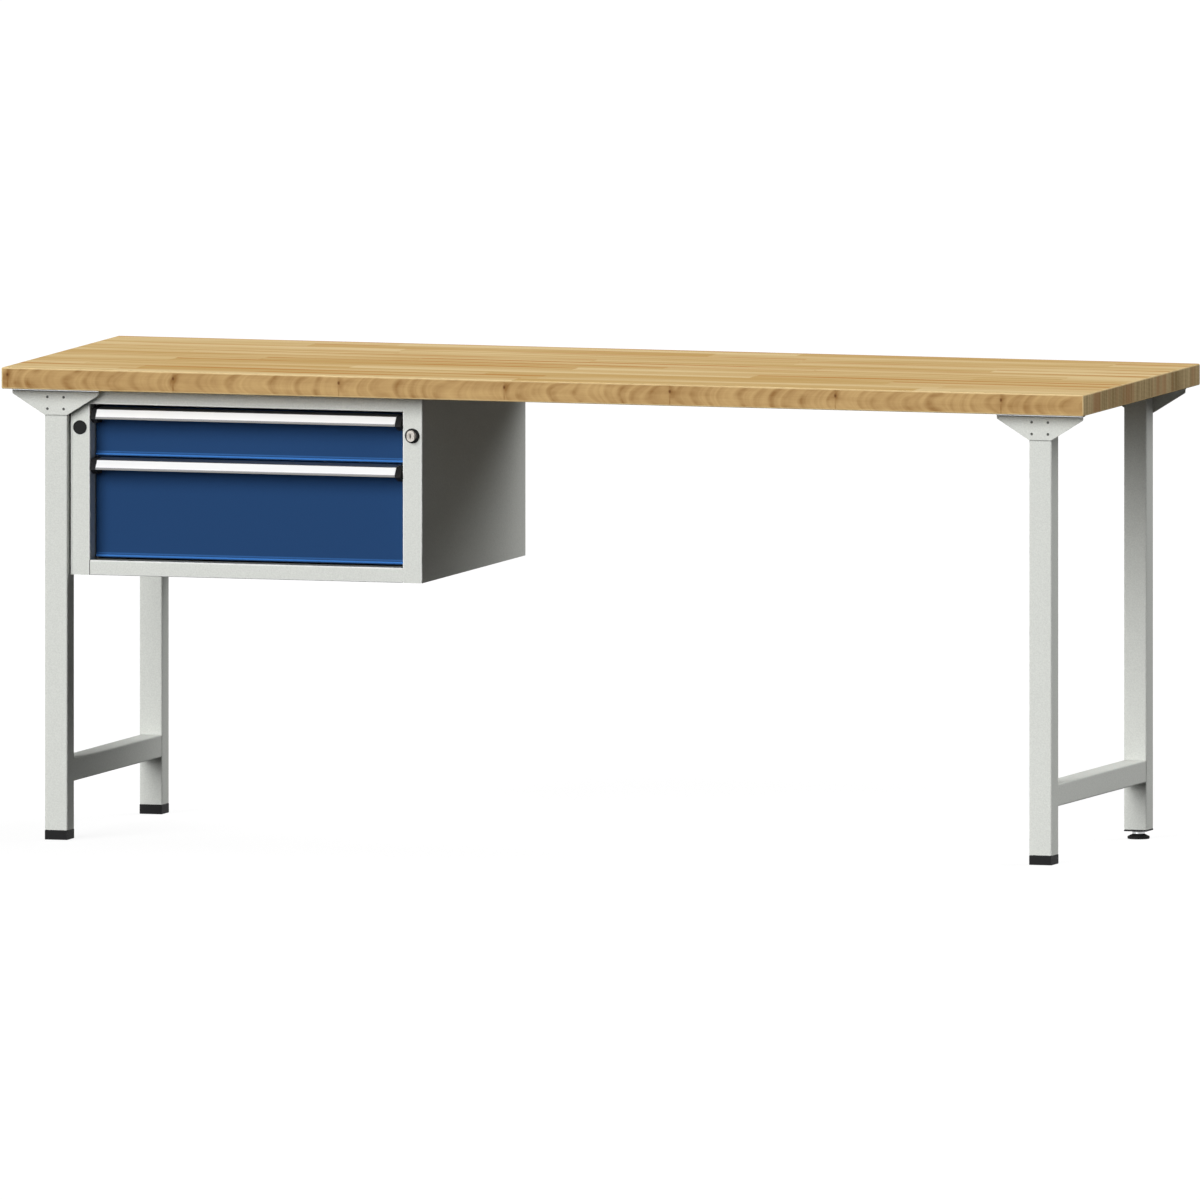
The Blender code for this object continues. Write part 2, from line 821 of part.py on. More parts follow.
def locking_bar(bar_body):
    """A flat bar behind the right flange. The crank lowers it, and its noses drop in front of the drawers' catches."""
    noses = [catch_top(drawer) + nose_clearance for drawer in range(len(front_heights))]
    top = noses[0] + nose_height + bar_end_margin
    bottom = noses[-1] - bar_end_margin
    left, right = bar_left, bar_left + bar_width
    outline = [(right, bottom), (right, top), (left, top)]
    nose_tip = opening_right - nose_reach
    for low in noses:
        outline += [(left, low + nose_height), (nose_tip, low + nose_height), (nose_tip, low), (left, low)]
    outline.append((left, bottom))
    bar = extrusion([outline], bar_front, bar_back, "XZ")
    middle_y = (bar_front + bar_back) / 2
    near = crank_radius * min(abs(math.cos(crank_start_angle)), abs(math.cos(crank_end_angle)))
    slot_width = crank_radius - near + 2 * (crank_pin_radius + crank_slot_gap)
    slot_height = 2 * (crank_pin_radius + crank_slot_gap)
    slot_centre = (lock_x - (crank_radius + near) / 2, fitting_height + crank_height)
    pin_slot = rectangle(slot_centre, slot_width, slot_height)
    cut(bar, extrusion([pin_slot], middle_y - bar_thickness, middle_y + bar_thickness, "XZ"))
    guide_x = left + bar_width / 2
    for drop in bar_guide_drops:
        centre = (guide_x, fitting_height - drop + bar_travel / 2)
        gap = bar_guide_radius + running
        guide = slot(centre, 2 * gap, bar_travel + 2 * gap)
        cut(bar, extrusion([guide], middle_y - bar_thickness, middle_y + bar_thickness, "XZ"))
    finish(bar, "locking_bar", "zinc_steel", bar_body)


def slide_post(side, front):
    """A channel that spaces the slides off the cabinet's side wall. side is -1 on the left."""
    web_face = (opening_right if side > 0 else opening_left) + side * (slide_web_inset + seat)
    wall = (cabinet_right if side > 0 else cabinet_left) - side * (sheet + seat)
    half = sheet / 2
    path = [
        (wall, front + half),
        (web_face + side * half, front + half),
        (web_face + side * half, front + post_width - half),
        (wall, front + post_width - half),
    ]
    low = cabinet_bottom + sheet + seat
    high = cabinet_top - sheet - seat
    return extrusion([folded(path, sheet, fold_radius)], low, high, "XY")


def slide_posts():
    for side, word in ((-1, "left"), (1, "right")):
        front_post = slide_post(side, post_front)
        if side > 0:
            # Two studs on this post guide the locking bar.
            guide_x = bar_left + bar_width / 2
            stud_start = bar_front - bar_guide_reach
            stud_end = post_front + sheet / 2
            for drop in bar_guide_drops:
                place = (guide_x, (stud_start + stud_end) / 2, fitting_height - drop)
                join(front_post, rod(place, bar_guide_radius, stud_end - stud_start, "Y", pin_steps))
        finish(front_post, f"{word}_front_slide_post", "zinc_steel")
        rear_post = slide_post(side, cabinet_front + rear_post_setback)
        finish(rear_post, f"{word}_rear_slide_post", "zinc_steel")


def slide_member(side, height, web, tip, centre, with_lips=True):
    """One channel of a telescopic slide, from its web to its flanges' tips, in distances from the fixed web.

    The lips turn in from the tips, so that each flange is a track for a row of balls on the next channel.
    """
    base = (opening_right if side > 0 else opening_left) + side * slide_web_inset
    half = slide_sheet / 2
    towards_tip = 1 if tip > web else -1
    web_line = web + towards_tip * half
    rise = height / 2 - half
    if with_lips:
        lip_line = tip - towards_tip * half
        lip_end = height / 2 - slide_sheet - slide_ball_gap + slide_lip_gap
        upper = [(lip_line, lip_end), (lip_line, rise), (web_line, rise)]
    else:
        upper = [(tip, rise), (web_line, rise)]
    lower = [(u, -v) for u, v in reversed(upper)]
    path = [(base - side * u, centre + v) for u, v in upper + lower]
    outline = folded(path, slide_sheet, slide_fold_radius)
    return extrusion([outline], slide_start, slide_start + slide_length, "XZ")


def slides(drawer, drawer_body, middle_body):
    number = drawer + 1
    centre = tray_bottom(drawer) + slide_centre_lift
    middle_height = slide_height - 2 * (slide_sheet + slide_ball_gap)
    inner_height = middle_height - 2 * (slide_sheet + slide_ball_gap)
    inner_tip = slide_middle_web + slide_sheet + slide_inner_gap
    for side, word in ((-1, "left"), (1, "right")):
        fixed = slide_member(side, slide_height, 0, slide_lip, centre)
        finish(fixed, f"slide_{number}_{word}_cabinet_member", "zinc_steel")
        middle = slide_member(side, middle_height, slide_middle_web, slide_lip, centre)
        finish(middle, f"slide_{number}_{word}_middle_member", "zinc_steel", middle_body)
        inner = slide_member(side, inner_height, slide_depth, inner_tip, centre, with_lips=False)
        finish(inner, f"slide_{number}_{word}_drawer_member", "zinc_steel", drawer_body)


def tray(drawer, drawer_body):
    low = Vector((tray_left, tray_front, tray_bottom(drawer)))
    high = Vector((tray_right, tray_front + tray_depth, tray_top(drawer)))
    box = block(low, high)
    work = bmesh.new()
    work.from_mesh(box.data)
    lid = [face for face in work.faces if face.normal.z > 0.5]
    bmesh.ops.delete(work, geom=lid, context="FACES_ONLY")
    work.to_mesh(box.data)
    work.free()
    soften(box, tray_corner, angle=math.radians(60))
    wall = box.modifiers.new("Solidify", "SOLIDIFY")
    wall.thickness = tray_sheet
    wall.offset = -1
    wall.use_even_offset = True
    return finish(box, f"drawer_{drawer + 1}_tray", "grey_paint", drawer_body)


def drawer_front(drawer, drawer_body):
    """A pan-shaped front whose lower edge steps forward twice."""
    top = front_top(drawer)
    bottom = top - front_heights[drawer]
    outline = [(front_back, bottom), (front_back, top), (front_plane, top)]
    outline += [(front_plane - forward, bottom + height) for forward, height in front_foot_steps]
    outline.append((front_plane - front_foot_steps[-1][0], bottom))
    pan = extrusion([outline[::-1]], front_left, front_right, "YZ")
    wall = front_sheet
    pocket_low = (front_left + wall, front_plane + wall, bottom + wall)
    pocket_high = (front_right - wall, front_back + cut_margin, top - wall)
    cut(pan, block(pocket_low, pocket_high))
    return finish(pan, f"drawer_{drawer + 1}_front", "blue_paint", drawer_body)


def handle(drawer, drawer_body):
    number = drawer + 1
    top = front_top(drawer)
    face = front_plane - seat
    half = handle_wall / 2
    path = [
        (face - half, top - handle_leg),
        (face - half, top - half),
        (front_plane - handle_web_reach, top - handle_web_fall - half),
        (front_plane - handle_reach + half, top - handle_slope_fall - half),
        (front_plane - handle_reach + half, top - handle_lip_fall),
    ]
    start = front_left + handle_cap_width
    end = front_right - handle_cap_width
    strip = extrusion([folded(path, handle_wall, handle_fold_radius)], start + seat, end - seat, "YZ")
    finish(strip, f"drawer_{number}_handle_strip", "aluminium", drawer_body)

    outline = [
        (face, top - handle_cap_drop),
        (face, top),
        (front_plane - handle_web_reach, top - handle_web_fall),
        (front_plane - handle_reach, top - handle_slope_fall),
        (front_plane - handle_reach, top - handle_lip_fall),
        (front_plane - handle_cap_chin, top - handle_cap_drop),
    ]
    for word, low in (("left", front_left), ("right", end)):
        cap = extrusion([outline], low, low + handle_cap_width, "YZ")
        finish(cap, f"drawer_{number}_{word}_handle_cap", "black_plastic", drawer_body)


def lock_catch(drawer, drawer_body):
    """An angle on the tray's right side that the locking bar's nose holds."""
    top = catch_top(drawer)
    front = bar_back + catch_gap_to_bar
    face = tray_right + seat + catch_sheet / 2
    reach = opening_right - slide_opening_gap - seat
    path = [(face, front + catch_length), (face, front + catch_sheet / 2), (reach, front + catch_sheet / 2)]
    piece = extrusion([folded(path, catch_sheet, fold_radius)], top - catch_height, top, "XY")
    return finish(piece, f"drawer_{drawer + 1}_lock_catch", "zinc_steel", drawer_body)


def drawers():
    for drawer in range(len(front_heights)):
        number = drawer + 1
        middle_x = (tray_left + tray_right) / 2
        place = (middle_x, slide_start, tray_bottom(drawer) + slide_centre_lift)
        drawer_body = body_frame(f"drawer_{number}", place)
        middle_body = body_frame(f"drawer_{number}_runners", place)
        slides(drawer, drawer_body, middle_body)
        tray(drawer, drawer_body)
        drawer_front(drawer, drawer_body)
        handle(drawer, drawer_body)
        lock_catch(drawer, drawer_body)


def main():
    worktop()
    full = bracket_length / 2
    clear_of_cabinet = leg_width / 2 + cabinet_leg_gap / 2
    for end, x in (("left", -leg_x), ("right", leg_x)):
        leg(f"front_{end}_leg", x, front_leg_y)
        leg(f"rear_{end}_leg", x, rear_leg_y)
        crossbar(f"{end}_crossbar", x)
        foot_cap(f"front_{end}_foot_cap", x, front_leg_y)
        bracket(f"front_{end}_bracket", x, front_leg_y, -1, (full, full))
    foot_cap("rear_left_foot_cap", -leg_x, rear_leg_y)
    bracket("rear_left_bracket", -leg_x, rear_leg_y, 1, (full, clear_of_cabinet))
    bracket("rear_right_bracket", leg_x, rear_leg_y, 1, (full, full))

    foot = (leg_x, rear_leg_y, 0)
    leveller(leg_x, rear_leg_y, body_frame("leveller_pad", foot), body_frame("leveller_spindle_body", foot))

    cabinet()
    hole_plug()
    slide_posts()
    lock_place = (lock_x, cabinet_front, fitting_height)
    lock(body_frame("lock", lock_place))
    locking_bar(body_frame("locking_bar_body", (bar_left, bar_back, fitting_height)))
    drawers()
    bpy.context.view_layer.update()


main()
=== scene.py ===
import json
import math
from functools import reduce

import bmesh
import bpy
from bpy.props import FloatProperty, FloatVectorProperty, IntProperty, PointerProperty
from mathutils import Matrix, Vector

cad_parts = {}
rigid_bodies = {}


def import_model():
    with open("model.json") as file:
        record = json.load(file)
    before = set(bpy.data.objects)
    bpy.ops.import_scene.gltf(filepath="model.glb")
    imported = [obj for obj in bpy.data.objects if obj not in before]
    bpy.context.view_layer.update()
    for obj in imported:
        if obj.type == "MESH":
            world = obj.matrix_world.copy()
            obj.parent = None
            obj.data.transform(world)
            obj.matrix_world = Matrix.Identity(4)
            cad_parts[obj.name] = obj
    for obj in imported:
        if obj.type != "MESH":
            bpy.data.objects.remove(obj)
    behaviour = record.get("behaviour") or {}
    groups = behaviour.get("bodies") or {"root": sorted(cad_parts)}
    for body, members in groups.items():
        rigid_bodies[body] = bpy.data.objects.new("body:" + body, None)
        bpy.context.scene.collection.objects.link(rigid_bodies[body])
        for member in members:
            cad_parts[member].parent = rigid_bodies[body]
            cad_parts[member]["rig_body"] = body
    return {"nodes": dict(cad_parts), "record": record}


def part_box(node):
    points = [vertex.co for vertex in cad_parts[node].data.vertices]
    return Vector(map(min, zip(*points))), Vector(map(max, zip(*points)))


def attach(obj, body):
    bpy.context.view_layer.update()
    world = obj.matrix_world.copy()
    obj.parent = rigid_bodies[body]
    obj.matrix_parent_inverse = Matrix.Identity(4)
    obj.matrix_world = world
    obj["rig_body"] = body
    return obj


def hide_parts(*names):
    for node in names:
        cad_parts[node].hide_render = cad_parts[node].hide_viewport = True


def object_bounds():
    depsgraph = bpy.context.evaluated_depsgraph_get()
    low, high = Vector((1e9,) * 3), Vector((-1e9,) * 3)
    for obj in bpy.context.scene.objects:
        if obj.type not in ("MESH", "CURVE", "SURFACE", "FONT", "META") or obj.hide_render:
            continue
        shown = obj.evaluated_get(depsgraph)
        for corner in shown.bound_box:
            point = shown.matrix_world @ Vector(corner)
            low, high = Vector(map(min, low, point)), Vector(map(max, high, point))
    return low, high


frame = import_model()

bl_info = {
    "name": "Workbench with two drawers",
    "version": (1, 0, 0),
    "blender": (4, 5, 0),
    "location": "3D View > Sidebar > Workbench",
    "description": "Wood, powder coat, metal and small fittings for a beech-topped workbench",
    "category": "Object",
}

cad = frame["nodes"]
slot_of = {part["node"]: part["material_slot"] for part in frame["record"]["subparts"]}
bench_low, bench_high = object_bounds()
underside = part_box("worktop")[0].z
drawers = ("drawer_1", "drawer_2")
hands = ("left", "right")
corners = ("front_left", "front_right", "rear_left", "rear_right")

# How near two points count as one, the least angles of a crease and of an edge that is rounded,
# and the least part of a face's normal along an axis for the face to look along it
touching = 0.00001
smooth_angle = math.radians(38)
rounded_angle = math.radians(50)
squarely = 0.9
white = (1.0, 1.0, 1.0)


# Sizes and colours

def length(name, default, description):
    """A size in metres for the sidebar."""
    return FloatProperty(
        name=name, description=description, default=default, min=0.0, precision=5, unit="LENGTH"
    )


def tint(name, default, description):
    """A scene-linear colour for the sidebar."""
    return FloatVectorProperty(
        name=name, description=description, default=default, min=0.0, max=1.0, size=3, subtype="COLOR"
    )


class BenchSizes(bpy.types.PropertyGroup):
    """Sizes of the bench's small features and of its grain."""

    stave_width: length("Stave width", 0.70 / 12, "Width of one glued stave of the worktop")
    stave_length: length("Stave length", 0.74, "Length of one piece in a row of staves")
    knot_pitch: length("Knot pitch", 0.306, "Distance between pin knots along the front edge")
    knot_start: length("First knot", 0.0115, "Distance of the first pin knot from the left end")
    knot_drop: length("Knot drop", 0.0125, "How far the pin knots lie below the top face")
    ring_pitch: length("Ring pitch", 0.030, "Distance between growth rings on the front edge")
    sheet_rounding: length("Sheet rounding", 0.0003, "Rounding of cut sheet edges")
    bar_rounding: length("Bar rounding", 0.0004, "Rounding of plates, bars and mouldings")
    flange_thickness: length("Flange thickness", 0.0035, "Thickness of a bracket's flange")
    groove_height: length("Groove height", 0.0018, "Height of the shaded groove below a flange")
    screw_reach: length("Screw reach", 0.060, "Distance of a bracket's screws from its leg's middle")
    screw_setback: length("Screw setback", 0.0096, "Distance of the screws from a flange's free edge")
    screw_head: length("Screw head radius", 0.0042, "Radius of the bracket screws' pan heads")
    screw_height: length("Screw head height", 0.0026, "Height of the bracket screws' pan heads")
    socket_width: length("Screw socket radius", 0.0018, "Radius of the six-sided socket in a head")
    ball_radius: length("Ball radius", 0.00115, "Radius of the balls in the drawer slides")
    ball_pitch: length("Ball pitch", 0.009, "Distance between two balls of a row")
    thread_radius: length("Thread radius", 0.0050, "Radius of the levelling foot's stud")
    thread_pitch: length("Thread pitch", 0.0015, "Pitch of the levelling foot's thread")
    thread_depth: length("Thread depth", 0.0003, "How far the thread stands off its stud")
    ball_count: IntProperty(name="Balls in a row", description="Balls in each row", default=28, min=1)


class BenchColours(bpy.types.PropertyGroup):
    """Colours of the bench's finishes; those of coats and metals have their slots' names."""

    wood_pale: tint("Wood, pale", (0.735, 0.565, 0.300), "Palest staves of the top")
    wood_dark: tint("Wood, dark", (0.560, 0.360, 0.135), "Darkest staves of the top")
    heartwood: tint("Heartwood", (0.500, 0.215, 0.058), "Reddish streaks along some staves")
    edge_pale: tint("Edge, pale", (0.560, 0.372, 0.163), "Pale wood between rings of the front edge")
    edge_dark: tint("Edge, dark", (0.290, 0.152, 0.052), "Growth rings and knots of the front edge")
    knot: tint("Knot", (0.130, 0.050, 0.020), "Pin knots of the front edge")
    end_pale: tint("End grain, pale", (0.560, 0.435, 0.240), "Pale staves at the cut ends")
    end_dark: tint("End grain, dark", (0.285, 0.200, 0.095), "Dark staves at the cut ends")
    end_red: tint("End grain, red", (0.400, 0.210, 0.100), "Reddish heartwood at the cut ends")
    grey_paint: tint("Grey paint", (0.645, 0.660, 0.625), "Textured powder coat of frame and cabinet")
    blue_paint: tint("Blue paint", (0.0152, 0.0525, 0.146), "Powder coat of the drawer fronts")
    blue_fold: tint("Blue fold", (0.060, 0.260, 0.760), "Coat that catches the light on a front's foot")
    # Painted highlight: a lighter blue painted on the slopes of a front's foot in place of the light they
    # catch
    aluminium: tint("Aluminium", (0.880, 0.885, 0.890), "Anodised handle strips")
    zinc_steel: tint("Zinc", (0.560, 0.570, 0.580), "Plated slides, bar, screws and levelling foot")
    nickel: tint("Nickel", (0.480, 0.450, 0.410), "Plated face and core of the lock")
    black_plastic: tint("Black plastic", (0.019, 0.019, 0.0195), "Feet, handle caps and plug")


# Node trees

def feed(tree, socket, value):
    """Gives an input socket another node's output, an opaque colour or a plain value."""
    if isinstance(value, bpy.types.NodeSocket):
        tree.links.new(value, socket)
    elif socket.type == "RGBA":
        socket.default_value = (*value, 1.0)
    else:
        socket.default_value = value


def put(tree, kind, sockets=None, **fields):
    """A new node with its fields set and its inputs fed by name or number."""
    made = tree.nodes.new(kind)
    for field, value in fields.items():
        setattr(made, field, value)
    for key, value in (sockets or {}).items():
        feed(tree, made.inputs[key], value)
    return made


def maths(tree, operation, *values):
    """The result of one Math node."""
    return put(tree, "ShaderNodeMath", dict(enumerate(values)), operation=operation).outputs[0]


def added(tree, *values):
    """The sum of numbers."""
    return reduce(lambda total, value: maths(tree, "ADD", total, value), values)


def times(tree, *values):
    """The product of numbers."""
    return reduce(lambda total, value: maths(tree, "MULTIPLY", total, value), values)


def less(tree, first, second):
    """One number less another."""
    return maths(tree, "SUBTRACT", first, second)


def off_middle(tree, value):
    """How far a number is from the middle between two whole ones."""
    return maths(tree, "ABSOLUTE", less(tree, maths(tree, "FRACT", value), 0.5))


def spread(tree, value, low, high, to_low=0.0, to_high=1.0):
    """A value carried from one range to another and held inside it."""
    made = put(
        tree,
        "ShaderNodeMapRange",
        {"Value": value, "From Min": low, "From Max": high, "To Min": to_low, "To Max": to_high},
    )
    return made.outputs["Result"]


def mixed(tree, factor, first, second):
    """Two colours mixed by a factor."""
    return put(tree, "ShaderNodeMix", {0: factor, 6: first, 7: second}, data_type="RGBA").outputs[2]


def scaled(tree, vector, scale):
    """A vector or colour times one number."""
    made = put(tree, "ShaderNodeVectorMath", {"Vector": vector, "Scale": scale}, operation="SCALE")
    return made.outputs["Vector"]


def point(tree, **axes):
    """A position made from numbers along its axes."""
    return put(tree, "ShaderNodeCombineXYZ", axes).outputs[0]


def parted(tree, position):
    """The numbers of a position along its axes."""
    return put(tree, "ShaderNodeSeparateXYZ", {"Vector": position}).outputs


def reach(tree, **axes):
    """How far a point is from the origin."""
    return put(tree, "ShaderNodeVectorMath", {0: point(tree, **axes)}, operation="LENGTH").outputs["Value"]


def lots(tree, dimensions, **numbers):
    """A number and a colour drawn by lot for each whole number or pair of them."""
    return put(tree, "ShaderNodeTexWhiteNoise", numbers, noise_dimensions=dimensions).outputs


def channels(tree, colour):
    """The red, green and blue of a colour."""
    return put(tree, "ShaderNodeSeparateColor", {"Color": colour}).outputs


def marked(tree, name):
    """The mark from 0 to 1 that a piece's faces carry under a name."""
    return put(tree, "ShaderNodeAttribute", attribute_name=name).outputs["Fac"]


def noise(tree, vector, scale, detail=2.0, roughness=0.5, distortion=0.0):
    """A soft noise between 0 and 1."""
    names = ("Vector", "Scale", "Detail", "Roughness", "Distortion")
    values = (vector, scale, detail, roughness, distortion)
    return put(tree, "ShaderNodeTexNoise", dict(zip(names, values))).outputs["Fac"]


def drawn_out(tree, vector, scales, detail=2.0, roughness=0.5, distortion=0.0):
    """A soft noise with a scale of its own along each axis."""
    stretched = put(tree, "ShaderNodeVectorMath", {0: vector, 1: scales}, operation="MULTIPLY")
    return noise(tree, stretched.outputs["Vector"], 1.0, detail, roughness, distortion)


def open_socket(tree, label, way, kind):
    """A named socket of a node group, to take something in or to give it out."""
    return tree.interface.new_socket(name=label, in_out=way, socket_type="NodeSocket" + kind)


def shader_group(name, numbers, colours, results):
    """A new group that makes a colour and other values, with its inner input and output sockets."""
    tree = bpy.data.node_groups.new(name, "ShaderNodeTree")
    open_socket(tree, "Position", "INPUT", "Vector")
    for label, value in numbers.items():
        open_socket(tree, label, "INPUT", "Float").default_value = value
    for label in colours:
        open_socket(tree, label, "INPUT", "Color")
    open_socket(tree, "Color", "OUTPUT", "Color")
    for label in results:
        open_socket(tree, label, "OUTPUT", "Float")
    return tree, put(tree, "NodeGroupInput").outputs, put(tree, "NodeGroupOutput").inputs


def staves_group(name):
    """Rows of glued staves, each piece with its own tone and grain, running along X."""
    tree, given, result = shader_group(
        name,
        {"Stave Width": 0.058, "Piece Length": 0.7, "First Row": -0.35},
        ("Pale", "Dark", "Heartwood"),
        ("Grain",),
    )
    axes = parted(tree, given["Position"])
    across = maths(tree, "DIVIDE", less(tree, axes["Y"], given["First Row"]), given["Stave Width"])
    row = maths(tree, "FLOOR", across)
    row_shift = times(tree, lots(tree, "1D", W=row)["Value"], 7.0)
    along = added(tree, maths(tree, "DIVIDE", axes["X"], given["Piece Length"]), row_shift)
    tone = lots(tree, "2D", Vector=point(tree, X=row, Y=maths(tree, "FLOOR", along)))
    shifted = put(
        tree, "ShaderNodeVectorMath", {0: given["Position"], 1: tone["Color"]}, operation="ADD"
    ).outputs["Vector"]
    streaks = drawn_out(tree, shifted, (1.3, 44.0, 30.0), 4.0, 0.62, 0.5)
    fibres = drawn_out(tree, shifted, (9.0, 520.0, 520.0), 3.0, 0.6)
    flecks = drawn_out(tree, shifted, (240.0, 1500.0, 1500.0), 1.0)
    lines = maths(
        tree,
        "MAXIMUM",
        spread(tree, off_middle(tree, across), 0.488, 0.499, 0.0, 0.35),
        spread(tree, off_middle(tree, along), 0.4990, 0.4997, 0.0, 0.4),
    )
    dark = added(
        tree,
        spread(tree, tone["Value"], 0.0, 1.0, -0.18, 0.56),
        spread(tree, streaks, 0.36, 0.66, -0.20, 0.80),
        spread(tree, fibres, 0.3, 0.7, -0.08, 0.10),
        spread(tree, flecks, 0.66, 0.76, 0.0, 0.30),
        lines,
    )
    wood = mixed(tree, dark, given["Pale"], given["Dark"])
    lengthwise = drawn_out(tree, shifted, (3.4, 9.0, 9.0))
    heart = times(
        tree,
        spread(tree, maths(tree, "FRACT", across), 0.66, 0.90),
        spread(tree, channels(tree, tone["Color"])["Green"], 0.15, 0.75),
        spread(tree, lengthwise, 0.40, 0.54, 0.30, 1.0),
    )
    feed(tree, result["Color"], mixed(tree, heart, wood, given["Heartwood"]))
    feed(tree, result["Grain"], less(tree, fibres, times(tree, lines, 2.0)))
    return tree


def rings_group(name):
    """Growth rings cut into bows along a long edge, with a pin knot at every pitch."""
    tree, given, result = shader_group(
        name,
        {"Knot Pitch": 0.3, "First Knot": 0.0, "Knot Height": 0.0, "Ring Pitch": 0.03},
        ("Pale", "Dark", "Knot"),
        (),
    )
    position = given["Position"]
    bow_centre, bow_depth, waver, flattening = 0.0080, -44.0, 3.2, 0.7
    axes = parted(tree, position)
    along = maths(tree, "DIVIDE", less(tree, axes["X"], given["First Knot"]), given["Knot Pitch"])
    beside = times(tree, less(tree, along, maths(tree, "ROUND", along)), given["Knot Pitch"])
    above = less(tree, axes["Z"], given["Knot Height"])
    rise = added(tree, above, bow_centre)
    bowed = maths(tree, "MULTIPLY_ADD", times(tree, rise, rise), bow_depth, axes["X"])
    wander = times(tree, drawn_out(tree, position, (11.0, 11.0, 7.0), 1.0), waver)
    turn = added(tree, maths(tree, "DIVIDE", bowed, given["Ring Pitch"]), wander)
    share = maths(tree, "FRACT", turn)
    broken = drawn_out(tree, position, (34.0, 34.0, 60.0))
    lot = lots(tree, "1D", W=maths(tree, "FLOOR", turn))["Value"]
    band = times(
        tree,
        spread(tree, share, 0.0, 0.28),
        maths(tree, "POWER", less(tree, 1.0, share), 1.3),
        spread(tree, broken, 0.35, 0.62, 0.35, 1.1),
        spread(tree, lot, 0.0, 1.0, 0.35, 1.35),
    )
    lines = noise(tree, point(tree, X=times(tree, turn, 4.0), Z=axes["Z"]), 1.0)
    fibres = drawn_out(tree, position, (14.0, 300.0, 420.0), 3.0, 0.6)
    clouds = drawn_out(tree, position, (6.0, 6.0, 40.0), 3.0)
    away = reach(tree, X=beside, Y=times(tree, above, flattening))
    halo = times(
        tree, spread(tree, away, 0.001, 0.012, 0.70, 0.0), spread(tree, beside, -0.004, 0.002, 0.25, 1.0)
    )
    crack = spread(tree, maths(tree, "ABSOLUTE", beside), 0.0004, 0.0018, 0.45, 0.0)
    dark = added(
        tree,
        times(tree, band, 0.75),
        spread(tree, clouds, 0.3, 0.7, -0.05, 0.38),
        spread(tree, lines, 0.35, 0.65, -0.06, 0.12),
        spread(tree, fibres, 0.3, 0.7, -0.06, 0.08),
        maths(tree, "MAXIMUM", halo, crack),
    )
    wood = mixed(tree, dark, given["Pale"], given["Dark"])
    heart = spread(tree, away, 0.0009, 0.0030, 0.85, 0.0)
    feed(tree, result["Color"], mixed(tree, heart, wood, given["Knot"]))
    return tree


def grained_group(name, grain_of, clouds_of, swing, roughening):
    """A colour broken up by a fine grain and by wide, faint clouds."""
    tree, given, result = shader_group(
        name, {"Scale": 1.0, "Contrast": 0.1, "Smooth": 0.4}, ("Color",), ("Roughness", "Grain")
    )
    grain = grain_of(tree, given)
    light = added(
        tree,
        times(tree, less(tree, grain, 0.5), given["Contrast"]),
        spread(tree, clouds_of(tree, given), 0.3, 0.7, 1.0 - swing, 1.0 + swing),
    )
    feed(tree, result["Color"], scaled(tree, given["Color"], light))
    feed(tree, result["Roughness"], maths(tree, "MULTIPLY_ADD", grain, roughening, given["Smooth"]))
    feed(tree, result["Grain"], grain)
    return tree


def coat_group(name):
    """The fine orange-peel grain of a coat or a moulding."""
    return grained_group(
        name,
        lambda tree, given: noise(tree, given["Position"], given["Scale"], 2.0, 0.6),
        lambda tree, given: noise(tree, given["Position"], 3.0),
        swing=0.015,
        roughening=0.18,
    )


def lines_group(name):
    """Fine parallel lines of drawn, rolled or brushed metal, running along X of the position given."""
    return grained_group(
        name,
        lambda tree, given: drawn_out(tree, given["Position"], (6.0, 1400.0, 1400.0), 3.0, 0.65),
        lambda tree, given: drawn_out(tree, given["Position"], (4.0, 40.0, 40.0)),
        swing=0.02,
        roughening=0.16,
    )


def wear_and_highlight_group(name):
    """The thin, rubbed coat along rounded edges, lighter there as a painted highlight."""
    tree, given, result = shader_group(name, {"Amount": 0.3}, ("Color", "Worn Color"), ())
    patches = spread(tree, noise(tree, given["Position"], 45.0, 4.0, 0.65), 0.35, 0.65, 0.45, 1.0)
    worn_and_highlit = times(tree, marked(tree, "edge"), patches, given["Amount"])
    feed(tree, result["Color"], mixed(tree, worn_and_highlit, given["Color"], given["Worn Color"]))
    return tree


group_makers = {
    "Glued staves": staves_group,
    "Growth rings": rings_group,
    "Coat grain": coat_group,
    "Drawn lines": lines_group,
    "Edge wear and highlight": wear_and_highlight_group,
}


def use_group(tree, name, sockets):
    """The outputs of one use of a shader group, which is built the first time it is asked for."""
    group = bpy.data.node_groups.get(name) or group_makers[name](name)
    return put(tree, "ShaderNodeGroup", sockets, node_tree=group).outputs


def emptied_tree(owner):
    """The node tree of a material or a world, without its nodes."""
    owner.use_nodes = True
    owner.node_tree.nodes.clear()
    return owner.node_tree


# Materials

# Each coat's worn colour is lighter than the coat and lies along its rounded edges: wear and a painted
# highlight
coats = {
    "grey_paint": {
        "worn_and_highlit": (0.86, 0.87, 0.85), "grains": 420.0, "contrast": 0.34, "smooth": 0.50,
        "depth": 0.0003, "shine": 0.02,
    },
    "blue_paint": {
        "worn_and_highlit": (0.05, 0.14, 0.30), "grains": 500.0, "contrast": 0.20, "smooth": 0.42,
        "depth": 0.00015, "shine": 0.03,
    },
    "black_plastic": {
        "worn_and_highlit": (0.06, 0.06, 0.06), "grains": 900.0, "contrast": 0.50, "smooth": 0.45,
        "depth": 0.0001, "shine": 0.04,
    },
}
metals = {
    "aluminium": {"contrast": 0.08, "smooth": 0.36, "turn": 0.0, "metal": 0.08},
    "zinc_steel": {"contrast": 0.16, "smooth": 0.28, "turn": math.radians(90), "metal": 1.0},
    "nickel": {"contrast": 0.20, "smooth": 0.34, "turn": 0.0, "metal": 0.2},
}
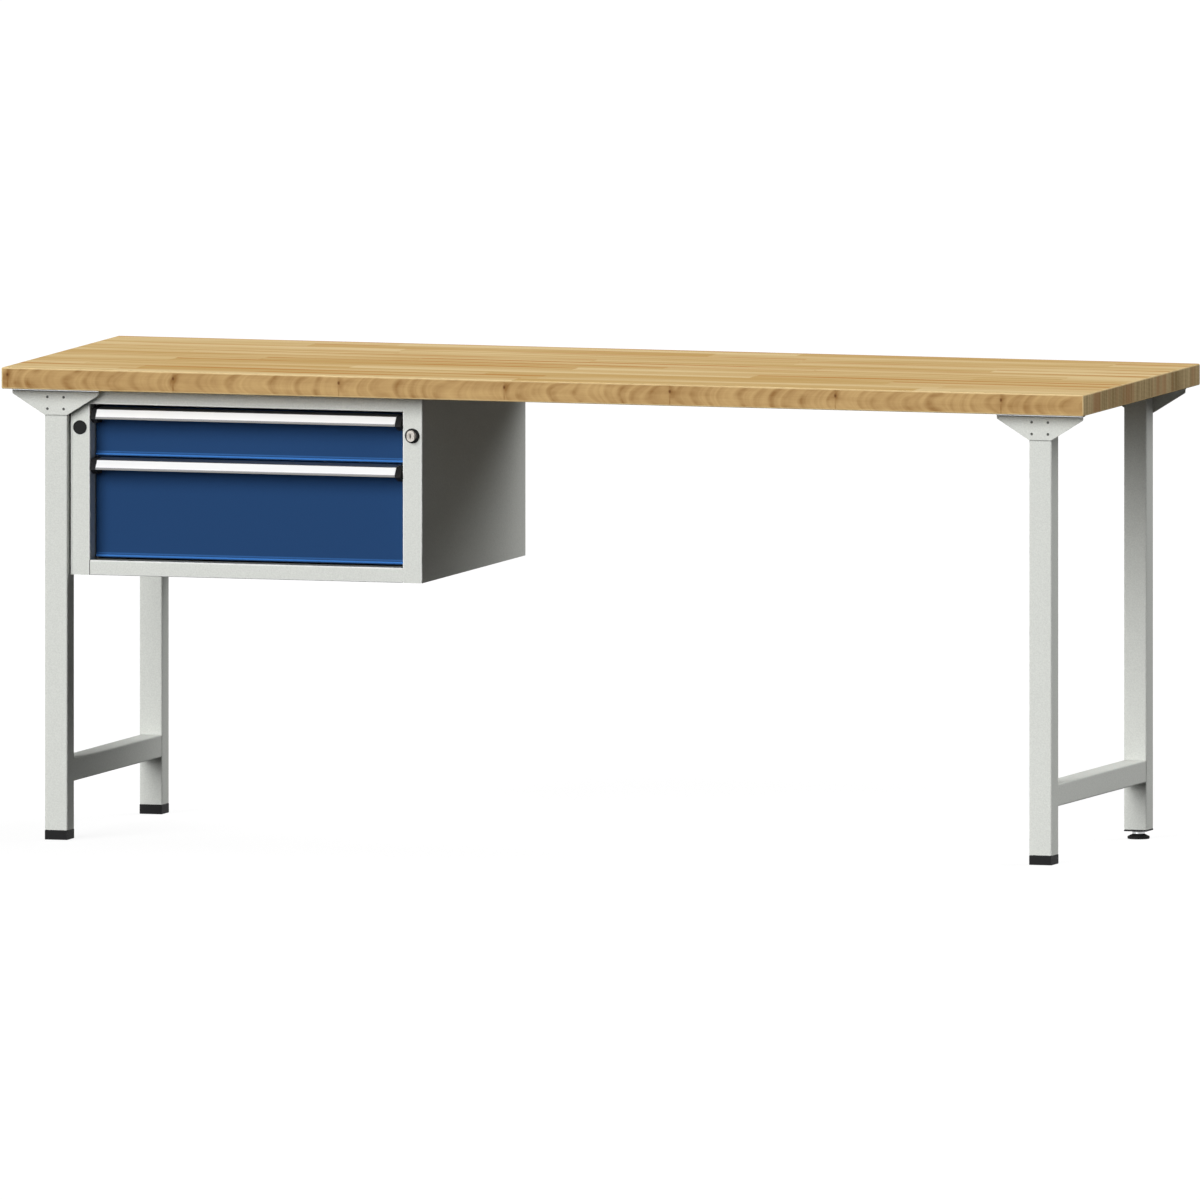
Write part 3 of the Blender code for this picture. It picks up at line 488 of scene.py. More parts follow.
# Painted light: the bright metallic colour of the painted highlight on a bracket flange's front edge, the
# light colour of metal edges (wear and a painted highlight), and how far painted shade darkens a coat, a
# metal and a handle's upright lip
painted_glint_colour = (0.82, 0.84, 0.87)
rubbed_and_highlit_metal = (0.9, 0.9, 0.9)
coat_in_painted_shade = 0.02
metal_in_painted_shade = 0.15
metal_in_painted_lip_shade = 0.20


def new_material(slot):
    """An empty material for a slot: its tree, its shader and the object's own coordinates."""
    material = bpy.data.materials.new("finish_" + slot)
    tree = emptied_tree(material)
    shader = put(tree, "ShaderNodeBsdfPrincipled")
    put(tree, "ShaderNodeOutputMaterial", {"Surface": shader.outputs[0]})
    position = put(tree, "ShaderNodeTexCoord").outputs["Object"]
    return material, tree, shader.inputs, position


def worn_and_highlit(tree, position, colour, worn_colour, amount):
    """A colour that is rubbed along the piece's rounded edges and lightened there as a painted highlight."""
    sockets = {"Position": position, "Color": colour, "Worn Color": worn_colour, "Amount": amount}
    return use_group(tree, "Edge wear and highlight", sockets)["Color"]


def bump(tree, height, distance, strength=1.0):
    """A normal that follows a height map."""
    sockets = {"Height": height, "Distance": distance, "Strength": strength}
    return put(tree, "ShaderNodeBump", sockets).outputs["Normal"]


def end_grain(tree, position, sizes, colours):
    """The staves' cut ends, each with its own slice of rings and its own tone."""
    ring_rows, ring_height, lift_range, lift_start = 9.0, 14.0, 3.0, -9.6
    axes = parted(tree, position)
    stave = maths(tree, "DIVIDE", less(tree, axes["Y"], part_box("worktop")[0].y), sizes.stave_width)
    place = point(tree, X=maths(tree, "FLOOR", stave), Y=maths(tree, "SIGN", axes["X"]))
    lot = lots(tree, "2D", Vector=place)
    tilt = channels(tree, lot["Color"])
    beside = added(tree, less(tree, maths(tree, "FRACT", stave), 0.5), tilt["Red"])
    lift = maths(tree, "MULTIPLY_ADD", tilt["Green"], lift_range, lift_start)
    away = reach(tree, X=beside, Y=maths(tree, "MULTIPLY_ADD", axes["Z"], ring_height, lift))
    wavy = maths(tree, "MULTIPLY_ADD", away, ring_rows, noise(tree, position, 40.0))
    ring = maths(tree, "FRACT", wavy)
    stripes = drawn_out(tree, position, (0.0, 105.0, 5.0), 2.0, 0.6, 0.4)
    pores = noise(tree, position, 1400.0, 1.0)
    dark = added(
        tree,
        times(tree, ring, 0.14),
        spread(tree, stripes, 0.34, 0.66, -0.05, 0.62),
        spread(tree, lot["Value"], 0.0, 1.0, -0.15, 0.60),
        spread(tree, pores, 0.3, 0.7, -0.1, 0.12),
        spread(tree, off_middle(tree, stave), 0.488, 0.498, 0.0, 0.45),
    )
    wood = mixed(tree, dark, colours.end_pale, colours.end_dark)
    redness = drawn_out(tree, position, (0.0, 24.0, 2.0), 1.0)
    return mixed(tree, spread(tree, redness, 0.52, 0.66, 0.0, 0.55), wood, colours.end_red)


def beech(slot, sizes, colours):
    """Oiled beech: staves on the faces, growth rings on the long edges, end grain at the ends."""
    material, tree, shader, position = new_material(slot)
    low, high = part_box("worktop")
    top = use_group(
        tree,
        "Glued staves",
        {
            "Position": position,
            "Stave Width": sizes.stave_width,
            "Piece Length": sizes.stave_length,
            "Pale": colours.wood_pale,
            "Dark": colours.wood_dark,
            "Heartwood": colours.heartwood,
        },
    )
    edge = use_group(
        tree,
        "Growth rings",
        {
            "Position": position,
            "Knot Pitch": sizes.knot_pitch,
            "First Knot": low.x + sizes.knot_start,
            "Knot Height": high.z - sizes.knot_drop,
            "Ring Pitch": sizes.ring_pitch,
            "Pale": colours.edge_pale,
            "Dark": colours.edge_dark,
            "Knot": colours.knot,
        },
    )
    colour = mixed(tree, marked(tree, "long_edge"), top["Color"], edge["Color"])
    colour = mixed(tree, marked(tree, "cut_end"), colour, end_grain(tree, position, sizes, colours))
    # Pale wood along the rounded edges: wear and a painted highlight on the arris
    feed(tree, shader["Base Color"], worn_and_highlit(tree, position, colour, colours.wood_pale, 0.8))
    feed(tree, shader["Roughness"], spread(tree, top["Grain"], 0.3, 0.7, 0.56, 0.44))
    feed(tree, shader["Normal"], bump(tree, top["Grain"], 0.0002, 0.5))
    shader["Specular IOR Level"].default_value = 0.0
    return material


def coated(slot, colours, coat):
    """Powder coat or moulded plastic, with wear and a painted highlight along rounded edges, painted shade
    in crevices and gaps, a painted bright metallic highlight on the brackets' flange edges and a painted
    highlight on the blue fronts' feet.
    """
    material, tree, shader, position = new_material(slot)
    grained = use_group(
        tree,
        "Coat grain",
        {
            "Position": position,
            "Color": getattr(colours, slot),
            "Scale": coat["grains"],
            "Contrast": coat["contrast"],
            "Smooth": coat["smooth"],
        },
    )
    colour = worn_and_highlit(tree, position, grained["Color"], coat["worn_and_highlit"], 0.9)
    # Painted highlight: a lighter blue on the slopes of a front's foot that face up and forward
    if slot == "blue_paint":
        colour = mixed(tree, marked(tree, "painted_foot_highlight"), colour, colours.blue_fold)
    # Painted highlight: a bracket flange's front edge takes a bright, fully metallic colour that shows as a
    # light line
    painted_glint = marked(tree, "painted_glint")
    colour = mixed(tree, painted_glint, colour, painted_glint_colour)
    # Painted shade: marked faces in gaps, grooves, weld marks and on the rails' returns darken almost to
    # black
    colour = scaled(tree, colour, spread(tree, marked(tree, "painted_shade"), 0.0, 1.0, 1.0, coat_in_painted_shade))
    feed(tree, shader["Base Color"], colour)
    feed(tree, shader["Metallic"], painted_glint)
    feed(tree, shader["Roughness"], grained["Roughness"])
    feed(tree, shader["Normal"], bump(tree, grained["Grain"], coat["depth"]))
    shader["Specular IOR Level"].default_value = coat["shine"]
    return material


def bare_metal(slot, colours, metal):
    """Plated or anodised metal with its drawn lines, with wear and a painted highlight along rounded edges,
    and with painted shade on marked faces, which also turn fully metallic.
    """
    material, tree, shader, position = new_material(slot)
    turned = put(tree, "ShaderNodeMapping", {"Vector": position, "Rotation": (0.0, 0.0, metal["turn"])})
    drawn = use_group(
        tree,
        "Drawn lines",
        {
            "Position": turned.outputs["Vector"],
            "Color": getattr(colours, slot),
            "Contrast": metal["contrast"],
            "Smooth": metal["smooth"],
        },
    )
    # Painted shade: the handle's faces that look up darken and turn fully metallic, and its upright lip
    # darkens
    painted_shade = marked(tree, "painted_shade")
    kept = times(
        tree,
        spread(tree, painted_shade, 0.0, 1.0, 1.0, metal_in_painted_shade),
        spread(tree, marked(tree, "painted_lip_shade"), 0.0, 1.0, 1.0, metal_in_painted_lip_shade),
    )
    colour = worn_and_highlit(tree, position, drawn["Color"], rubbed_and_highlit_metal, 0.3)
    feed(tree, shader["Base Color"], scaled(tree, colour, kept))
    feed(tree, shader["Roughness"], drawn["Roughness"])
    feed(tree, shader["Normal"], bump(tree, drawn["Grain"], 0.00004))
    feed(tree, shader["Metallic"], spread(tree, painted_shade, 0.0, 1.0, metal["metal"], 1.0))
    return material


def finish(slot):
    """The material of a slot, made the first time it is asked for."""
    made = bpy.data.materials.get("finish_" + slot)
    if made:
        return made
    sizes = bpy.context.scene.bench_sizes
    colours = bpy.context.scene.bench_colours
    if slot in coats:
        return coated(slot, colours, coats[slot])
    if slot in metals:
        return bare_metal(slot, colours, metals[slot])
    return beech(slot, sizes, colours)


# Shapes, whose faces carry the marks that the finishes read

def merged_copy(node):
    """A CAD node's shape as one merged mesh with its flat faces whole."""
    work = bmesh.new()
    work.from_mesh(cad[node].data)
    bmesh.ops.remove_doubles(work, verts=work.verts, dist=touching)
    bmesh.ops.dissolve_limit(
        work, angle_limit=math.radians(0.5), verts=work.verts, edges=work.edges, delimit={"NORMAL"}
    )
    return work


def cut_across(work, place, facing):
    """Parts a mesh's faces along a plane and keeps both sides."""
    whole = work.verts[:] + work.edges[:] + work.faces[:]
    bmesh.ops.bisect_plane(work, geom=whole, dist=touching, plane_co=place, plane_no=facing)


def mark_where(work, name, rule):
    """Gives each face the mark that a rule says for the face and its middle."""
    layers = work.faces.layers.float
    mark = layers.get(name) or layers.new(name)
    for face in work.faces:
        face[mark] = rule(face, face.calc_center_median())


def on_rounding(face, middle):
    """1 for the narrow, slanting strips that a part's own rounded edges are made of."""
    widest, straightest = 0.0013, 0.985
    width = face.calc_area() / max(edge.calc_length() for edge in face.edges)
    return float(width < widest and max(abs(part) for part in face.normal) < straightest)


def round_edges(work, radius):
    """Rounds the sharp outer edges of a mesh and marks the rounded faces."""
    sharp = [
        edge
        for edge in work.edges
        if edge.is_manifold and edge.calc_face_angle_signed() > rounded_angle
    ]
    if not sharp or radius <= 0:
        return
    made = bmesh.ops.bevel(
        work,
        geom=sharp,
        offset=radius,
        segments=2,
        profile=0.5,
        affect="EDGES",
        clamp_overlap=True,
        loop_slide=True,
    )
    mark = work.faces.layers.float["edge"]
    for face in made["faces"]:
        face[mark] = 1.0


def prism(profile, foot, head):
    """An upright bar between two heights, with the given outline."""
    work = bmesh.new()
    rings = [[work.verts.new((x, y, z)) for x, y in profile] for z in (foot, head)]
    count = len(profile)
    for index in range(count):
        after = (index + 1) % count
        work.faces.new((rings[0][index], rings[0][after], rings[1][after], rings[1][index]))
    work.faces.new(rings[0][::-1])
    work.faces.new(rings[1])
    bmesh.ops.recalc_face_normals(work, faces=work.faces)
    return work


def new_object(name, data):
    """An object that holds some data, put into the scene."""
    made = bpy.data.objects.new(name, data)
    bpy.context.scene.collection.objects.link(made)
    return made


def shaded(mesh):
    """Shades a mesh smooth over its roundings and flat over its flats."""
    mesh.shade_smooth()
    mesh.set_sharp_from_angle(angle=smooth_angle)


def placed(name, work, body, slot):
    """A shape as a piece that rides on a body and has its slot's finish."""
    mesh = bpy.data.meshes.new(name)
    work.to_mesh(mesh)
    work.free()
    mesh.materials.append(finish(slot))
    shaded(mesh)
    piece = new_object(name, mesh)
    piece.modifiers.new("even_shading", "WEIGHTED_NORMAL").keep_sharp = True
    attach(piece, body)
    return piece


def dressed(node, radius=0.0, marks=None):
    """A piece that stands for a CAD node, with its edges rounded and its slot's finish."""
    work = merged_copy(node)
    mark_where(work, "edge", on_rounding)
    if marks:
        marks(work)
    round_edges(work, radius)
    piece = placed(node + "_made", work, cad[node]["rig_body"], slot_of[node])
    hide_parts(node)


# Geometry trees

def geometry_tree(name, **inputs):
    """A new tree that takes points, a material and named values, with its inner sockets."""
    tree = bpy.data.node_groups.new(name, "GeometryNodeTree")
    for label, kind in {"Points": "Geometry", **inputs, "Material": "Material"}.items():
        open_socket(tree, label.replace("_", " "), "INPUT", kind)
    open_socket(tree, "Geometry", "OUTPUT", "Geometry")
    return tree, put(tree, "NodeGroupInput").outputs, put(tree, "NodeGroupOutput").inputs


def on_points(tree, points, shape):
    """A shape set on every point."""
    sockets = {"Points": points, "Instance": shape}
    return put(tree, "GeometryNodeInstanceOnPoints", sockets).outputs["Instances"]


def realized(tree, shape):
    """Instances turned into real geometry."""
    return put(tree, "GeometryNodeRealizeInstances", {"Geometry": shape}).outputs["Geometry"]


def end_tree(tree, given, result, points, shape):
    """Closes a tree with a real shape on every point, in the material that it was given."""
    sockets = {"Geometry": realized(tree, on_points(tree, points, shape)), "Material": given["Material"]}
    painted = put(tree, "GeometryNodeSetMaterial", sockets)
    feed(tree, result["Geometry"], painted.outputs["Geometry"])
    return tree


def lowered(tree, shape, height, share):
    """A shape moved down by a share of a height."""
    sockets = {"Geometry": shape, "Translation": point(tree, Z=times(tree, height, -share))}
    return put(tree, "GeometryNodeTransform", sockets).outputs["Geometry"]


def screw_tree():
    """Pan heads with a six-sided socket, hanging below each point."""
    tree, given, result = geometry_tree("Screw heads", Radius="Float", Height="Float", Socket_Radius="Float")
    radius, height = given["Radius"], given["Height"]
    rim = put(
        tree,
        "GeometryNodeMeshCylinder",
        {"Vertices": 28, "Radius": radius, "Depth": times(tree, height, 0.55)},
    )
    crown = put(
        tree,
        "GeometryNodeMeshCone",
        {
            "Vertices": 28,
            "Radius Top": radius,
            "Radius Bottom": times(tree, radius, 0.74),
            "Depth": times(tree, height, 0.46),
        },
    )
    socket = put(
        tree,
        "GeometryNodeMeshCylinder",
        {"Vertices": 6, "Radius": given["Socket Radius"], "Depth": height},
    )
    whole = put(tree, "GeometryNodeMeshBoolean", operation="UNION", solver="EXACT")
    for part, share in ((rim, 0.275), (crown, 1.0)):
        feed(tree, whole.inputs["Mesh 2"], lowered(tree, part.outputs["Mesh"], height, share))
    head = put(
        tree,
        "GeometryNodeMeshBoolean",
        {"Mesh 1": whole.outputs["Mesh"], "Mesh 2": lowered(tree, socket.outputs["Mesh"], height, 1.2)},
        operation="DIFFERENCE",
        solver="EXACT",
    )
    return end_tree(tree, given, result, given["Points"], head.outputs["Mesh"])


def ball_tree():
    """A row of balls from each point, one step apart."""
    tree, given, result = geometry_tree("Ball rows", Count="Int", Step="Vector", Radius="Float")
    row = put(
        tree,
        "GeometryNodeMeshLine",
        {"Count": given["Count"], "Offset": given["Step"]},
        mode="OFFSET",
        count_mode="TOTAL",
    )
    places = realized(tree, on_points(tree, given["Points"], row.outputs["Mesh"]))
    ball = put(tree, "GeometryNodeMeshIcoSphere", {"Radius": given["Radius"], "Subdivisions": 2})
    return end_tree(tree, given, result, places, ball.outputs["Mesh"])


def thread_tree():
    """A screw thread that climbs from each point."""
    tree, given, result = geometry_tree(
        "Screw thread", Radius="Float", Pitch="Float", Turns="Float", Depth="Float"
    )
    climb = put(
        tree,
        "GeometryNodeCurveSpiral",
        {
            "Resolution": 32,
            "Rotations": given["Turns"],
            "Start Radius": given["Radius"],
            "End Radius": given["Radius"],
            "Height": times(tree, given["Turns"], given["Pitch"]),
        },
    )
    crest = put(tree, "GeometryNodeCurvePrimitiveCircle", {"Resolution": 4, "Radius": given["Depth"]})
    wound = put(
        tree,
        "GeometryNodeCurveToMesh",
        {"Curve": climb.outputs["Curve"], "Profile Curve": crest.outputs["Curve"], "Fill Caps": True},
    )
    return end_tree(tree, given, result, given["Points"], wound.outputs["Mesh"])


def grown(name, tree, points, values, body, slot):
    """A plain mesh that a geometry tree makes from a list of points, riding on a body."""
    seeds = bpy.data.meshes.new(name + "_points")
    seeds.from_pydata(points, [], [])
    piece = new_object(name, seeds)
    modifier = piece.modifiers.new("maker", "NODES")
    modifier.node_group = tree
    values = {**values, "Material": finish(slot)}
    for item in tree.interface.items_tree:
        if item.in_out == "INPUT" and item.name in values:
            modifier[item.identifier] = values[item.name]
    graph = bpy.context.evaluated_depsgraph_get()
    mesh = bpy.data.meshes.new_from_object(piece.evaluated_get(graph))
    piece.modifiers.remove(modifier)
    piece.data = mesh
    bpy.data.meshes.remove(seeds)
    if not mesh.polygons:
        raise RuntimeError(name + " came out empty")
    shaded(mesh)
    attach(piece, body)


# Operators, one for each piece or group of like pieces

class BenchOperator(bpy.types.Operator):
    """Settings that the bench's operators share."""

    bl_options = {"REGISTER", "UNDO"}


class BENCH_OT_worktop(BenchOperator):
    """Dress the beech worktop"""

    bl_idname = "bench.worktop"
    bl_label = "Worktop"

    def execute(self, context):
        """The glued top, its faces marked by how the wood is cut there."""

        def mark_cuts(work):
            mark_where(work, "long_edge", lambda face, middle: float(abs(face.normal.y) > 0.75))
            mark_where(work, "cut_end", lambda face, middle: float(abs(face.normal.x) > 0.75))

        dressed("worktop", marks=mark_cuts)
        return {"FINISHED"}


class BENCH_OT_frames(BenchOperator):
    """Dress the legs and cross-bars"""

    bl_idname = "bench.frames"
    bl_label = "Legs and cross-bars"

    def execute(self, context):
        """Four square tube legs and two cross-bars."""
        for corner in corners:
            dressed(corner + "_leg", marks=self.mark_gap if corner.endswith("left") else None)
        for hand in hands:
            dressed(hand + "_crossbar")
        return {"FINISHED"}

    def mark_gap(self, work):
        """Paints shade on the face of a left leg where the cabinet stands close beside it."""
        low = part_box("cabinet_left_side")[0]
        for facing in ((0.0, 1.0, 0.0), (0.0, 0.0, 1.0)):
            cut_across(work, low, facing)

        def in_gap(face, middle):
            return float(face.normal.x > squarely and middle.y > low.y and middle.z > low.z)

        mark_where(work, "painted_shade", in_gap)


class BENCH_OT_brackets(BenchOperator):
    """Dress the brackets and drive their screws"""

    bl_idname = "bench.brackets"
    bl_label = "Brackets and screws"

    def execute(self, context):
        """Four brackets, and the pan heads of the screws that hold the worktop."""
        sizes = context.scene.bench_sizes
        holes = []
        for corner in corners:
            low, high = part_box(corner + "_bracket")
            leg_low, leg_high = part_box(corner + "_leg")
            centre = (leg_low.x + leg_high.x) / 2
            facing = -1 if corner.startswith("front") else 1
            brow = high.z - sizes.flange_thickness
            groove = brow - sizes.groove_height
            dressed(
                corner + "_bracket",
                marks=lambda work: self.mark_plate(work, centre, facing, groove, brow),
            )
            y = (high.y if facing > 0 else low.y) - facing * sizes.screw_setback
            for side in (-1, 1):
                if corner == "rear_left" and side == 1:
                    continue
                holes.append((centre + side * sizes.screw_reach, y, brow))
        grown(
            "bracket_screws",
            screw_tree(),
            holes,
            {"Radius": sizes.screw_head, "Height": sizes.screw_height, "Socket Radius": sizes.socket_width},
            "bench",
            "zinc_steel",
        )
        return {"FINISHED"}

    def mark_plate(self, work, centre, facing, groove, brow):
        """Paints a bright metallic highlight on the flange's front edge, and painted shade on the band below
        it and in four round weld marks.
        """
        across, rows, spot, small = 0.015, (0.015, 0.036), 0.0026, 0.00003
        weld_shade, groove_shade = 0.84, 0.5

        def painted_shade_on_plate(face, middle):
            beside = abs(abs(middle.x - centre) - across)
            below = min(abs(underside - middle.z - row) for row in rows)
            if math.hypot(beside, below) < spot and face.calc_area() < small:
                return weld_shade
            outwards = face.normal.y * facing > squarely
            return groove_shade if outwards and groove < middle.z <= brow else 0.0

        def painted_glint(face, middle):
            return float(face.normal.y * facing > squarely and middle.z > brow)

        cut_across(work, (0.0, 0.0, groove), (0.0, 0.0, 1.0))
        mark_where(work, "painted_shade", painted_shade_on_plate)
        mark_where(work, "painted_glint", painted_glint)


class BENCH_OT_feet(BenchOperator):
    """Dress the foot caps and the levelling foot"""

    bl_idname = "bench.feet"
    bl_label = "Feet"

    def execute(self, context):
        """Three moulded caps, the insert, and the threaded foot that levels the bench."""
        sizes = context.scene.bench_sizes
        for corner in corners[:3]:
            dressed(corner + "_foot_cap", sizes.bar_rounding)
        dressed("rear_right_leg_insert", sizes.bar_rounding)
        dressed("leveller_glide")
        dressed("leveller_spindle")
        low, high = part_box("leveller_spindle")
        middle = (low + high) / 2
        bare_foot, hidden_head = 0.0035, 0.003
        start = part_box("leveller_glide")[1].z + bare_foot
        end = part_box("rear_right_leg")[0].z + hidden_head
        grown(
            "leveller_thread",
            thread_tree(),
            [(middle.x, middle.y, start)],
            {
                "Radius": sizes.thread_radius,
                "Pitch": sizes.thread_pitch,
                "Turns": (end - start) / sizes.thread_pitch,
                "Depth": sizes.thread_depth,
            },
            "leveller_spindle",
            "zinc_steel",
        )
        return {"FINISHED"}


class BENCH_OT_cabinet(BenchOperator):
    """Dress the drawer cabinet's folded sheets and posts"""

    bl_idname = "bench.cabinet"
    bl_label = "Cabinet"

    def execute(self, context):
        """Five folded sheets, four posts and the plug in the spare lock hole."""
        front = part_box("cabinet_right_side")[0].y
        dressed("cabinet_left_side", marks=self.mark_seam)
        dressed("cabinet_right_side")
        for sheet in ("cabinet_top", "cabinet_bottom"):
            dressed(sheet, marks=lambda work: self.mark_returns(work, front))
        self.ground_weld("cabinet_top", "left", front)
        self.ground_weld("cabinet_top", "right", front)
        self.ground_weld("cabinet_bottom", "right", front)
        for hand in hands:
            self.corner_plate(hand)
        dressed("cabinet_back")
        for hand in hands:
            for end in ("front", "rear"):
                dressed(f"{hand}_{end}_slide_post")
        dressed("flange_hole_plug")
        return {"FINISHED"}

    def mark_returns(self, work, front):
        """Paints shade on the rails' level returns, which only show in the gaps round the drawer fronts."""
        levels = (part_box("cabinet_bottom")[1].z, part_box("cabinet_top")[0].z)
        start, end, near, shade = front + 0.002, front + 0.040, 0.0004, 0.74

        def behind_fronts(face, middle):
            on_return = min(abs(middle.z - level) for level in levels) < near
            level_face = abs(face.normal.z) > squarely
            return shade if start < middle.y < end and on_return and level_face else 0.0

        mark_where(work, "painted_shade", behind_fronts)

    def mark_seam(self, work):
        """Paints shade in the groove between the left flange and the bottom rail."""
        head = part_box("cabinet_bottom")[1].z
        low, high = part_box("cabinet_left_side")
        side, front, shade = high.x - 0.002, low.y + 0.0022, 0.9

        def in_groove(face, middle):
            at_fold = middle.x > side and middle.y < front and middle.z < head
            return shade if at_fold and face.normal.x > 0.5 else 0.0

        cut_across(work, (0.0, 0.0, head), (0.0, 0.0, 1.0))
        mark_where(work, "painted_shade", in_groove)

    def ground_weld(self, sheet, hand, front):
        """The flush weld that closes the seam between a rail and a flange."""
        rail, flange = (
            [vertex.co for vertex in cad[node].data.vertices if abs(vertex.co.y - front) < 2 * touching]
            for node in (sheet, f"cabinet_{hand}_side")
        )
        left, right = (flange, rail) if hand == "left" else (rail, flange)
        overlap, depth, proud, swell, steps = 0.0003, 0.0004, 0.00003, 0.00004, 6
        start = max(point.x for point in left) - overlap
        end = min(point.x for point in right) + overlap
        profile = []
        for step in range(steps + 1):
            share = step / steps
            crown = proud + swell * math.sin(math.pi * share)
            profile.append((start + (end - start) * share, front - crown))
        profile += [(end, front + depth), (start, front + depth)]
        foot = min(point.z for point in rail)
        head = max(point.z for point in rail)
        placed(f"{sheet}_{hand}_weld", prism(profile, foot, head), "bench", "grey_paint")

    def corner_plate(self, hand):
        """The small plate that closes the foot of a flange's hollow."""
        low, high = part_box(f"cabinet_{hand}_side")
        inset, cut, depth, lift, thickness = 0.0017, 0.0009, 0.0351, 0.0001, 0.0015
        left, right = low.x + inset, high.x - inset
        front, back = low.y + inset, low.y + depth
        profile = [(left, back), (left, front + cut), (left + cut, front)]
        profile += [(right - cut, front), (right, front + cut), (right, back)]
        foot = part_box("cabinet_bottom")[0].z + lift
        placed(f"cabinet_{hand}_corner_plate", prism(profile, foot, foot + thickness), "bench", "grey_paint")


class BENCH_OT_lock(BenchOperator):
    """Dress the lock and its bar"""

    bl_idname = "bench.lock"
    bl_label = "Lock and bar"

    def execute(self, context):
        """The cylinder lock, its nut and crank, and the bar that it lifts and drops."""
        for node in ("lock_escutcheon", "lock_nut", "lock_cylinder", "lock_core", "lock_cam", "locking_bar"):
            dressed(node)
        return {"FINISHED"}


class BENCH_OT_slides(BenchOperator):
    """Dress the drawer slides and fill their tracks with balls"""

    bl_idname = "bench.slides"
    bl_label = "Drawer slides"

    def execute(self, context):
        """Four telescopic slides with their rows of balls."""
        sizes = context.scene.bench_sizes
        rows = ball_tree()
        for number, drawer in enumerate(drawers, 1):
            starts = []
            for hand in hands:
                for member in ("cabinet", "middle", "drawer"):
                    dressed(f"slide_{number}_{hand}_{member}_member")
                starts += self.row_starts(hand, *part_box(f"slide_{number}_{hand}_cabinet_member"))
            grown(
                drawer + "_balls",
                rows,
                starts,
                {
                    "Count": sizes.ball_count,
                    "Step": (0.0, sizes.ball_pitch, 0.0),
                    "Radius": sizes.ball_radius,
                },
                drawer + "_runners",
                "nickel",
            )
        return {"FINISHED"}

    def row_starts(self, hand, low, high):
        """Where the rows begin: outer ones at the front of a slide and inner ones further back."""
        base, inward = (low.x, 1) if hand == "left" else (high.x, -1)
        centre = (low.z + high.z) / 2
        outer, inner = (0.0070, 0.030, 0.02045), (0.0075, -0.235, 0.01685)
        return [
            (base + inward * depth, y, centre + side * rise)
            for side in (-1, 1)
            for depth, y, rise in (outer, inner)
        ]


class BENCH_OT_drawers(BenchOperator):
    """Dress the drawer trays, fronts and catches"""

    bl_idname = "bench.drawers"
    bl_label = "Drawers"

    def execute(self, context):
        """Two folded trays with their blue fronts and lock catches."""
        lip_height, on_lip, on_shoulder = 0.005, 0.55, 0.20
        for drawer in drawers:
            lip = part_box(drawer + "_front")[0].z + lip_height

            # Painted highlight: the foot's slopes that face up and forward take a lighter blue, more on the
            # lowest slope
            def catches_light(face, middle):
                if face.normal.y > -0.2 or face.normal.z < 0.1:
                    return 0.0
                return on_shoulder if middle.z > lip else on_lip

            dressed(drawer + "_tray")
            dressed(drawer + "_front", marks=lambda work: mark_where(work, "painted_foot_highlight", catches_light))
            dressed(drawer + "_lock_catch", context.scene.bench_sizes.sheet_rounding)
        return {"FINISHED"}


class BENCH_OT_handles(BenchOperator):
    """Dress the handle strips and their end caps"""

    bl_idname = "bench.handles"
    bl_label = "Handles"

    def execute(self, context):
        """The extruded strip across each front, with a moulded cap at each end."""
        for drawer in drawers:
            dressed(drawer + "_handle_strip", marks=lambda work: self.mark_faces(work, drawer))
            for hand in hands:
                dressed(f"{drawer}_{hand}_handle_cap", context.scene.bench_sizes.bar_rounding)
        return {"FINISHED"}

    def mark_faces(self, work, drawer):
        """Paints shade on the faces that look up and on the upright lip at the front."""
        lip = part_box(drawer + "_handle_strip")[0].y + 0.001
        upwards, forwards, shade = 0.7, -0.84, 0.93
        mark_where(work, "painted_shade", lambda face, middle: shade if face.normal.z > upwards else 0.0)
        mark_where(work, "painted_lip_shade", lambda face, middle: float(face.normal.y < forwards and middle.y < lip))


